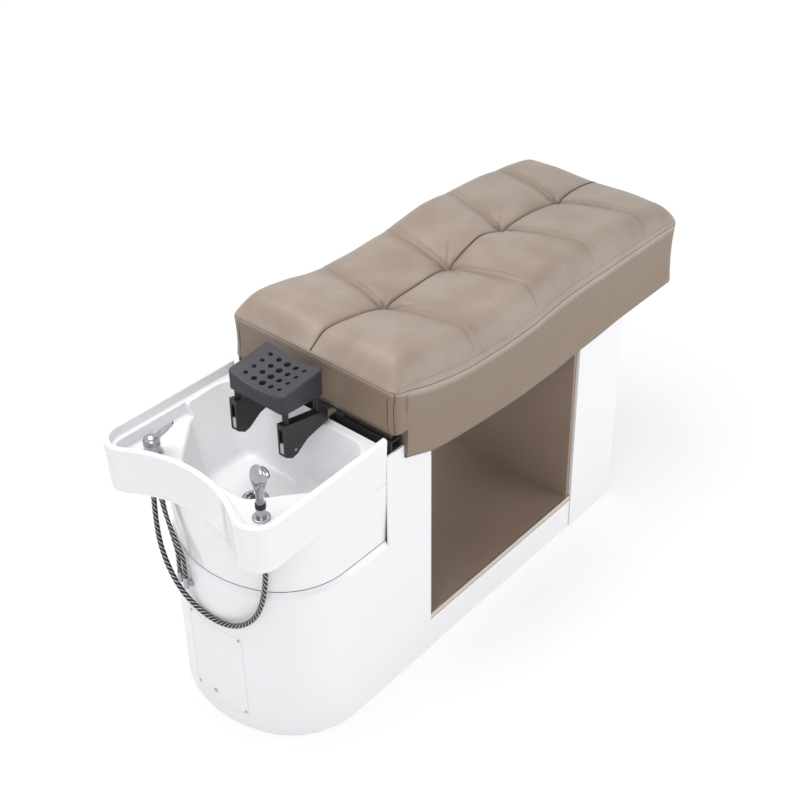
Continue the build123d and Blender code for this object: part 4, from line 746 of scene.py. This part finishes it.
def corner_inset(s):
    """How far the sides stand in near an end: corners are tight at the head and rounder at the foot."""
    radius = np.where(s < length_mm / 2, head_corner, foot_corner)
    d = np.clip(np.minimum(s, length_mm - s), 0, radius)
    return radius - np.sqrt(np.clip(radius**2 - (radius - d) ** 2, 0, None))


def to_nearest_tuft(s):
    """How far along the cushion the nearest tuft is."""
    return np.min([np.abs(s - tuft) for tuft in tuft_reaches], axis=0)


tuft_pull_reach = 45
valley_least, valley_most = 3, 60
groove_width, groove_width_at_tuft = 30, 26
dome_height, dome_place, dome_width = 5.0, 135, 60
pinch_depth, pinch_width = 7.0, 16
smooth_edge = 60
ripple_height = 1.0
ripple_across, ripple_along, ripple_wander = 47, 61, 83
# These set the painted shade: a narrow dark band along the middle seam, and darkening at the tufts and in the
# folds.
seam_shade_width = 5
darkest_fold = 12
deepest_fold = 6


def top_height(x, s):
    """The height of the cushion's top at places across and along it, and a painted shade at each: darker
    along the middle seam, at the tufts and in the folds.
    """
    half = half_mm - corner_inset(s)
    to_end = np.minimum(s, length_mm - s)
    seam = along_profile(seam_profile, s)
    crest = along_profile(crest_profile, s)
    out = np.abs(x)
    cover = quarter_rise(half - out) * quarter_rise(to_end)
    to_tuft = to_nearest_tuft(s)
    near_tuft = bell(to_tuft, tuft_pull_reach)
    valley = np.clip(crest - along_profile(valley_profile, s), valley_least, valley_most)
    width = groove_width + groove_width_at_tuft * near_tuft
    groove = np.exp(-((out / width) ** (0.85 + 0.1 * near_tuft)))
    dome = dome_height * bell(out - dome_place, dome_width) * (1 - near_tuft)
    pinch = pinch_depth * np.exp(-np.hypot(x, to_tuft) / pinch_width)
    inner = np.clip(cover * 1.3 - 0.3, 0, 1)
    relief = fold_relief(x, s) * np.clip((half - out) / smooth_edge, 0, 1) + crease_relief(x, s)
    wander = np.sin(x / ripple_across + 1.3 * np.sin(s / ripple_wander))
    ripple = ripple_height * wander * np.sin(s / ripple_along + 0.7)
    sink = valley * groove * quarter_rise(to_end * 1.5)
    height = seam + (crest - seam) * cover - sink + (dome + relief + ripple - pinch) * inner
    # Painted shade: darker along the middle seam, at the tufts and deep in the folds.
    narrow = 0.8 * bell(out, seam_shade_width)
    shade = narrow + pinch / darkest_fold + np.clip(-relief, 0, deepest_fold) / darkest_fold
    return np.maximum(height, seam), np.clip(shade, 0, 1) * inner


# %% [markdown]
# ### One closed mesh of rings
# The cover is a stack of rings from the head end to the foot end: the top, the near side, the underside with
# the hollow for the seat board, and the far side. Rings stand closer together where the form turns quickly.

# %% Cushion mesh
inner_half = half_mm - edge_reach
edge_steps = edge_reach * (1 - np.cos(np.linspace(0, math.pi / 2, 13)))[:-1]
inner_steps = np.concatenate([[0.0, 2.5, 5.5, 9.5], np.linspace(14, inner_half, 46)])
side_places = np.concatenate([
    -half_mm + edge_steps, -inner_steps[::-1], inner_steps[1:], half_mm - edge_steps[::-1],
])
stations = np.concatenate([
    [0.0, 0.4, 1.2, 2.5, 4.5, 7.0, 10.5, 15, 20, 26, 33, 40, 44.9, 45.1, 52, 59.9, 60.1],
    np.linspace(64, 1223, 306),
    [1229, 1236, 1243, 1250, 1257, 1264, 1264.9, 1265.1, 1270, 1274.5, 1279, 1282.5, 1285.5, 1287.5],
    [1288.8, 1289.6, 1290.0],
])
wall_levels = 10
notch_reach = 45.0
notch_top = 814.0
recess_start, recess_end = 60.0, 1265.0
recess_half, recess_height = 245.0, 75.0
side_pull = 5.0
end_pull = 3.0
columns = len(side_places)
wall_shares = np.linspace(0, 1, wall_levels + 2)[1:-1]


def ring_at(s):
    """One ring of the cover, as points across, along and up in millimetres, with each point's painted shade.
    """
    half = half_mm - float(corner_inset(np.array(s)))
    edge_x = np.sign(side_places) * (half - (half_mm - np.abs(side_places)))
    inner_x = side_places * (half - edge_reach) / inner_half
    x = np.where(np.abs(side_places) > inner_half, edge_x, inner_x)
    top, depth = top_height(x, np.full(columns, float(s)))
    bottom = notch_top if s < notch_reach else float(along_profile(bottom_profile, np.array(s)))
    under = np.full(columns, bottom)
    if recess_start < s < recess_end:
        under = np.where(np.abs(x) < recess_half, bottom + recess_height, bottom)
    pull = side_pull * np.sin(math.pi * wall_shares)
    near_z = top[-1] + (bottom - top[-1]) * wall_shares
    far_z = bottom + (top[0] - bottom) * wall_shares
    xs = np.concatenate([x, half - pull, x[::-1], -(half - pull)])
    zs = np.concatenate([top, near_z, under[::-1], far_z])
    point_crease_shades = np.concatenate([depth, np.zeros(len(xs) - columns)])
    return np.stack([xs, np.full(len(xs), float(s)), zs], 1), point_crease_shades


rings, ring_crease_shades = zip(*(ring_at(s) for s in stations))
ring_size = len(rings[0])
cover_points = np.concatenate(rings)
painted_crease_shade_values = np.concatenate(ring_crease_shades)
cover_faces = [(a, d, c, b) for a, b, c, d in tube_faces(len(stations), ring_size)[:-2]]


def end_wall(points, base, outward):
    """Points and faces that close one end, in rows between its top edge and its bottom edge."""
    top = list(range(base, base + columns))
    bottom = list(range(base + columns + wall_levels, base + 2 * columns + wall_levels))[::-1]
    near = list(range(base + columns, base + columns + wall_levels))
    far = list(range(base + 2 * columns + wall_levels, base + ring_size))[::-1]
    rows = [top]
    added = []
    for level, share in enumerate(wall_shares):
        middle = points[top[1:-1]] * (1 - share) + points[bottom[1:-1]] * share
        spread = middle[:, 0] / np.abs(middle[:, 0]).max()
        middle[:, 1] -= outward * end_pull * math.sin(math.pi * share) * (1 - spread**4)
        start = len(points) + level * len(middle)
        added.append(middle)
        rows.append([far[level]] + list(range(start, start + len(middle))) + [near[level]])
    rows.append(bottom)
    faces = []
    for upper, lower in zip(rows, rows[1:]):
        for step in range(columns - 1):
            quad = (upper[step], upper[step + 1], lower[step + 1], lower[step])
            faces.append(quad if outward < 0 else quad[::-1])
    return np.concatenate(added), faces


for base, outward in ((0, -1), ((len(stations) - 1) * ring_size, 1)):
    wall_points, wall_faces = end_wall(cover_points, base, outward)
    cover_points = np.concatenate([cover_points, wall_points])
    cover_faces += wall_faces
cover_points = cover_points / 1000
cover_points[:, 1] += cushion_head
cushion = new_piece("cushion_cover", cover_points, cover_faces, leather, "root")
print("cushion cover:", len(cover_points), "points")

# %% Values that the leather reads
# Points past the rings are the two end walls, which count as side band.
side_lightening_columns = 1.8
end_lightening_reach = 5
to_side = np.minimum(np.arange(columns), np.arange(columns)[::-1])
cover_count = len(cover_points)
painted_crease_shade_values = np.concatenate([painted_crease_shade_values, np.zeros(cover_count - len(painted_crease_shade_values))])
# Painted side shade: one on the side bands and end walls, zero on the top.
painted_side_shade_values = np.ones(cover_count)
edge_lightening_values = np.zeros(cover_count)
for row, s in enumerate(stations):
    on_this_top = slice(row * ring_size, row * ring_size + columns)
    painted_side_shade_values[on_this_top] = 0.0
    # Lighter along the top edges and near the two ends.
    end_lightening = math.exp(-min(s, length_mm - s) / end_lightening_reach)
    edge_lightening_values[on_this_top] = np.maximum(np.exp(-to_side / side_lightening_columns), end_lightening)
for name, values in (("painted_crease_shade", painted_crease_shade_values), ("painted_side_shade", painted_side_shade_values), ("edge_lightening", edge_lightening_values)):
    kept = cushion.data.attributes.new(name, "FLOAT", "POINT")
    kept.data.foreach_set("value", values.astype(np.float32))
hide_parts("cushion")

# %% [markdown]
# ## Seams and stitches
# The two halves of the top meet in a tight seam, drawn as a dark line of painted shadow. The top edge has a
# thin dark line of painted seam shadow and a row of stitches that a twin-needle machine leaves, so stitches
# are instances placed evenly along each line by one tree.

# %% Lines on the cushion


def on_top(x, s, lift=0.0):
    """A point on the cushion's top, in metres, lifted a little off it in millimetres."""
    height = float(top_height(np.array([float(x)]), np.array([float(s)]))[0][0])
    return Vector((x / 1000, cushion_head + s / 1000, (height + lift) / 1000))


def shadow_line(name, points, radius, closed=False, radii=None):
    """A round dark line of painted seam shadow along a chain of points, as a piece of the cushion."""
    line = new_line(name, points, closed=closed)
    line.data.bevel_depth = radius
    line.data.bevel_resolution = 2
    line.data.use_fill_caps = not closed
    for index, share in enumerate(radii or []):
        line.data.splines[0].points[index].radius = share
    mesh = line_mesh(line)
    bpy.data.objects.remove(line)
    mesh.materials.append(seam_shadow_material)
    mesh_piece(name, mesh, "root")


# The middle seam is a dark line of painted shadow, thinner at the tufts.
seam_step, seam_end_gap, seam_lift = 3.0, 2.5, 0.4
seam_radius = 0.0018
seam_reaches = np.arange(seam_step, length_mm - seam_end_gap, seam_step)
seam_points = [on_top(0, s, seam_lift) for s in seam_reaches]
seam_radius_shares = list(0.25 + 0.75 * np.clip(to_nearest_tuft(seam_reaches) / tuft_pull_reach, 0, 1))
shadow_line("centre_seam_shadow", seam_points, seam_radius, radii=seam_radius_shares)
rim_step = 6.0
first_turn = 0.1


def rim_places(inset, lift):
    """The cushion's top edge as a closed chain, at an inset from the edge and lifted off it."""
    head_turns = np.linspace(first_turn, math.pi / 2, 8, endpoint=False)
    foot_turns = np.linspace(math.pi / 2, first_turn, 9)
    reaches = np.concatenate([
        head_corner * (1 - np.cos(head_turns)) + inset,
        np.arange(head_corner + inset, length_mm - foot_corner, rim_step),
        length_mm - inset - foot_corner * (1 - np.cos(foot_turns)),
    ])
    chain = [(half_mm - float(corner_inset(np.array(s))) - inset, s) for s in reaches]
    far = [(-x, s) for x, s in reversed(chain)]
    foot_xs = np.arange(chain[-1][0] - rim_step, far[0][0] + rim_step / 2, -rim_step)
    head_xs = np.arange(far[-1][0] + rim_step, chain[0][0] - rim_step / 2, rim_step)
    foot = [(x, length_mm - inset) for x in foot_xs]
    head = [(x, inset) for x in head_xs]
    return [on_top(x, s, lift) for x, s in chain + foot + far + head]


# The top edge gets a thin dark line of painted seam shadow.
shadow_line_inset = 0.2
shadow_line_radius = 0.0006
shadow_line("edge_seam_shadow", rim_places(shadow_line_inset, 0), shadow_line_radius, closed=True)
print("seam shadow lines made")

# %% Stitch tree
stitch_tree, given, way_out = new_tree("even_stitches", ("Spacing", "Size"))
spaced = add_node(
    stitch_tree, "GeometryNodeResampleCurve",
    {"Curve": given["Geometry"], "Length": given["Spacing"]}, mode="LENGTH",
)
bead = add_node(stitch_tree, "GeometryNodeMeshUVSphere", {"Segments": 6, "Rings": 4, "Radius": 1.0})
facing = add_node(
    stitch_tree, "FunctionNodeAlignRotationToVector",
    {"Vector": add_node(stitch_tree, "GeometryNodeInputTangent").outputs["Tangent"]}, axis="X",
)
shape = add_node(
    stitch_tree, "ShaderNodeVectorMath", {0: (1.0, 0.32, 0.32), "Scale": given["Size"]}, operation="SCALE"
)
placed = add_node(
    stitch_tree, "GeometryNodeInstanceOnPoints",
    {
        "Points": spaced.outputs["Curve"], "Instance": bead.outputs["Mesh"],
        "Rotation": facing.outputs["Rotation"], "Scale": shape.outputs["Vector"],
    },
)
end_tree(stitch_tree, placed.outputs["Instances"], given["Material"], way_out)
stitch_spacing = 0.0045


def stitch_along(name, points, closed, size):
    """A row of stitches along a chain of points."""
    stitch_values = {"Spacing": stitch_spacing, "Size": size, "Material": thread}
    mesh = grow(new_line(name, points, closed=closed), stitch_tree, stitch_values)
    mesh_piece(name, mesh, "root")
    print(name, "has", len(mesh.polygons), "faces")


# %% Stitch rows
stitch_lift = 0.2
edge_stitch_inset, edge_stitch_size = 2.6, 0.0015
dart_stitch_size = 0.0014
dart_stitch_places = np.arange(238, 277, 3.0)
stitch_along("edge_stitches", rim_places(edge_stitch_inset, stitch_lift), closed=True, size=edge_stitch_size)
for number, tuft in enumerate(tuft_reaches):
    for side, word in ((-1, "far"), (1, "near")):
        drift = crease_drift[side][number]
        places = [on_top(side * x, tuft + crease_swing(drift, x), stitch_lift) for x in dart_stitch_places]
        stitch_along(f"dart_stitches_{word}_{number + 1}", places, closed=False, size=dart_stitch_size)

# %% Corner seams
# At the head the side band is joined at its two tight corners; at the foot it bends round without a join.
# Each join is drawn as a dark line of painted seam shadow.
corner_reach = 7.0
corner_lift = 0.2
corner_radius = 0.0008
corner_half = half_mm - float(corner_inset(np.array(corner_reach)))
corner_top = float(along_profile(seam_profile, np.array(corner_reach)))
for side, word in ((-1, "far"), (1, "near")):
    chain = []
    for share in np.linspace(0, 1, 14):
        pull = side_pull * math.sin(math.pi * share)
        x = side * (corner_half - pull + corner_lift) / 1000
        y = cushion_head + (corner_reach - corner_lift) / 1000
        z = (corner_top + (notch_top - corner_top) * share) / 1000
        chain.append(Vector((x, y, z)))
    shadow_line(f"corner_seam_shadow_head_{word}", chain, corner_radius)

# %% [markdown]
# ## Softer edges for moulded pieces
# The neck pad is soft rubber, so no edge of it is sharp. A copy of the solid is welded and gets a bevel.

# %% Neck pad
pad_edge = 0.004
merge_distance = 0.00002
mesh = nodes["neck_pad"].data.copy()
work = bmesh.new()
work.from_mesh(mesh)
bmesh.ops.remove_doubles(work, verts=work.verts, dist=merge_distance)
bmesh.ops.dissolve_limit(work, angle_limit=math.radians(1), verts=work.verts, edges=work.edges)
work.to_mesh(mesh)
work.free()
mesh.materials.clear()
mesh.materials.append(rubber)
pad = mesh_piece("neck_pad_rubber", mesh, "neck_rest")
round_over = pad.modifiers.new("round_over", "BEVEL")
round_over.width = pad_edge
round_over.segments = 4
round_over.limit_method = "ANGLE"
round_over.angle_limit = math.radians(30)
round_over.harden_normals = True
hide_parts("neck_pad")
print("pad softened")

# %% [markdown]
# ## The tap's lever
# The lever is a broad leaf with a shallow hollow along its top. It is swept from oval sections along a rising
# line, over the cap that turns on the tap's dome.

# %% Lever leaf
# Each section has its reach, its rise, its width and its thickness in metres.
joints = frame["record"]["behaviour"]["joints"]
lever_joint = next(joint for joint in joints if joint["name"] == "mixer_lift")
lever_pivot = Vector(lever_joint["pos_m"])
leaf_sections = [
    (0.012, 0.0205, 0.028, 0.010), (0.020, 0.0270, 0.035, 0.012), (0.030, 0.0350, 0.036, 0.012),
    (0.040, 0.0430, 0.032, 0.010), (0.049, 0.0515, 0.025, 0.008), (0.056, 0.0580, 0.016, 0.006),
    (0.059, 0.0610, 0.008, 0.003),
]
lever_turn = math.radians(37)
leaf_lean = math.radians(42)
leaf_segments = 28
leaf_hollow_share = 0.25
leaf_forward = Vector((math.cos(lever_turn), math.sin(lever_turn), 0))
leaf_across = Vector((-math.sin(lever_turn), math.cos(lever_turn), 0))
leaf_up = leaf_forward * -math.sin(leaf_lean) + Vector((0, 0, math.cos(leaf_lean)))
leaf_points = []
for reach, rise, width, thickness in leaf_sections:
    middle = lever_pivot + leaf_forward * reach + Vector((0, 0, rise))
    for step in range(leaf_segments):
        angle = 2 * math.pi * step / leaf_segments
        hollow = leaf_hollow_share * thickness * max(math.sin(angle), 0) ** 3
        aside = leaf_across * (width / 2 * math.cos(angle))
        leaf_points.append(middle + aside + leaf_up * (thickness / 2 * math.sin(angle) - hollow))
leaf_faces = tube_faces(len(leaf_sections), leaf_segments)
new_piece("lever_leaf", leaf_points, leaf_faces, chrome, "mixer_handle")
print("lever leaf:", len(leaf_faces), "faces")

# %% [markdown]
# ## Floor, backdrop and light
# The picture shows the bed on plain white. The floor is white to the camera, and keeps the bed's soft shadow.
# A big lamp above and soft sky light give the leather its gentle modelling.

# %% Floor
# The floor's own glow grows with the distance from the bed, so that its far part meets the white backdrop.
floor_material = bpy.data.materials.new("white_studio_floor")
floor_material.use_nodes = True
tree = floor_material.node_tree
tree.nodes.clear()
floor_reach = 14
floor_drop = 0.0005
floor_glow = 1.02
glow_range = {"From Min": 1.0, "From Max": 2.6, "To Min": 0.5, "To Max": 1.0}


def seen_directly(tree):
    """One where the camera, a mirror or glass looks, and zero for the light that falls on the bed."""
    rays = add_node(tree, "ShaderNodeLightPath").outputs
    mirror = calculate(tree, "MAXIMUM", rays["Is Camera Ray"], rays["Is Glossy Ray"])
    return calculate(tree, "MAXIMUM", mirror, rays["Is Transmission Ray"])


def choose_seen(tree, share, hidden, seen):
    """Shows one shader to rays that look straight at it, and the other to the light on the bed."""
    chosen = add_node(tree, "ShaderNodeMixShader", {"Fac": share})
    tree.links.new(hidden, chosen.inputs[1])
    tree.links.new(seen, chosen.inputs[2])
    return chosen.outputs["Shader"]


matte = add_node(tree, "ShaderNodeBsdfDiffuse", {"Color": colour("#FFFFFF")})
glow = add_node(tree, "ShaderNodeEmission", {"Color": colour("#FFFFFF"), "Strength": floor_glow})
floor_place = add_node(tree, "ShaderNodeTexCoord").outputs["Object"]
from_bed = add_node(tree, "ShaderNodeVectorMath", {0: floor_place}, operation="LENGTH").outputs["Value"]
glow_share = add_node(tree, "ShaderNodeMapRange", {"Value": from_bed, **glow_range})
seen_share = calculate(tree, "MULTIPLY", seen_directly(tree), glow_share.outputs["Result"])
floor_shader = choose_seen(tree, seen_share, matte.outputs["BSDF"], glow.outputs["Emission"])
add_node(tree, "ShaderNodeOutputMaterial", {"Surface": floor_shader})
corner_signs = ((-1, -1), (1, -1), (1, 1), (-1, 1))
floor_corners = [(x * floor_reach, y * floor_reach, -floor_drop) for x, y in corner_signs]
floor_mesh = bpy.data.meshes.new("studio_floor")
floor_mesh.from_pydata(floor_corners, [], [(0, 1, 2, 3)])
floor_mesh.materials.append(floor_material)
floor = add_object("studio_floor", floor_mesh)

# %% World and lamps
world = bpy.data.worlds.new("studio_world")
bpy.context.scene.world = world
world.use_nodes = True
tree = world.node_tree
tree.nodes.clear()
sky_light = 0.66
sky = add_node(tree, "ShaderNodeBackground", {"Color": colour("#FAFAFC"), "Strength": sky_light})
white = add_node(tree, "ShaderNodeBackground", {"Color": colour("#FFFFFF"), "Strength": 1.0})
backdrop = choose_seen(tree, seen_directly(tree), sky.outputs["Background"], white.outputs["Background"])
add_node(tree, "ShaderNodeOutputWorld", {"Surface": backdrop})

# Each lamp is a large square that faces a point: its name, place, target, side in metres and power in watts.
# They are so strong that leather which faces up renders about 1.5 times as bright as its written colour.
lamps = [
    ("top_light", (-0.5, -0.6, 3.5), (0, -0.1, 0.6), 2.4, 64),
    ("front_light", (1.8, -2.6, 2.2), (0, -0.2, 0.5), 2.0, 22),
    ("foot_light", (2.8, 1.7, 1.1), (0.2, 0.5, 0.6), 1.6, 26),
]
for name, place, target, side, power in lamps:
    data = bpy.data.lights.new(name, "AREA")
    data.shape = "SQUARE"
    data.size = side
    data.energy = power
    lamp = add_object(name, data)
    lamp.location = place
    lamp.rotation_euler = (Vector(target) - Vector(place)).to_track_quat("-Z", "Y").to_euler()
bpy.context.scene.view_settings.view_transform = "Standard"
print("lamps:", len(lamps))
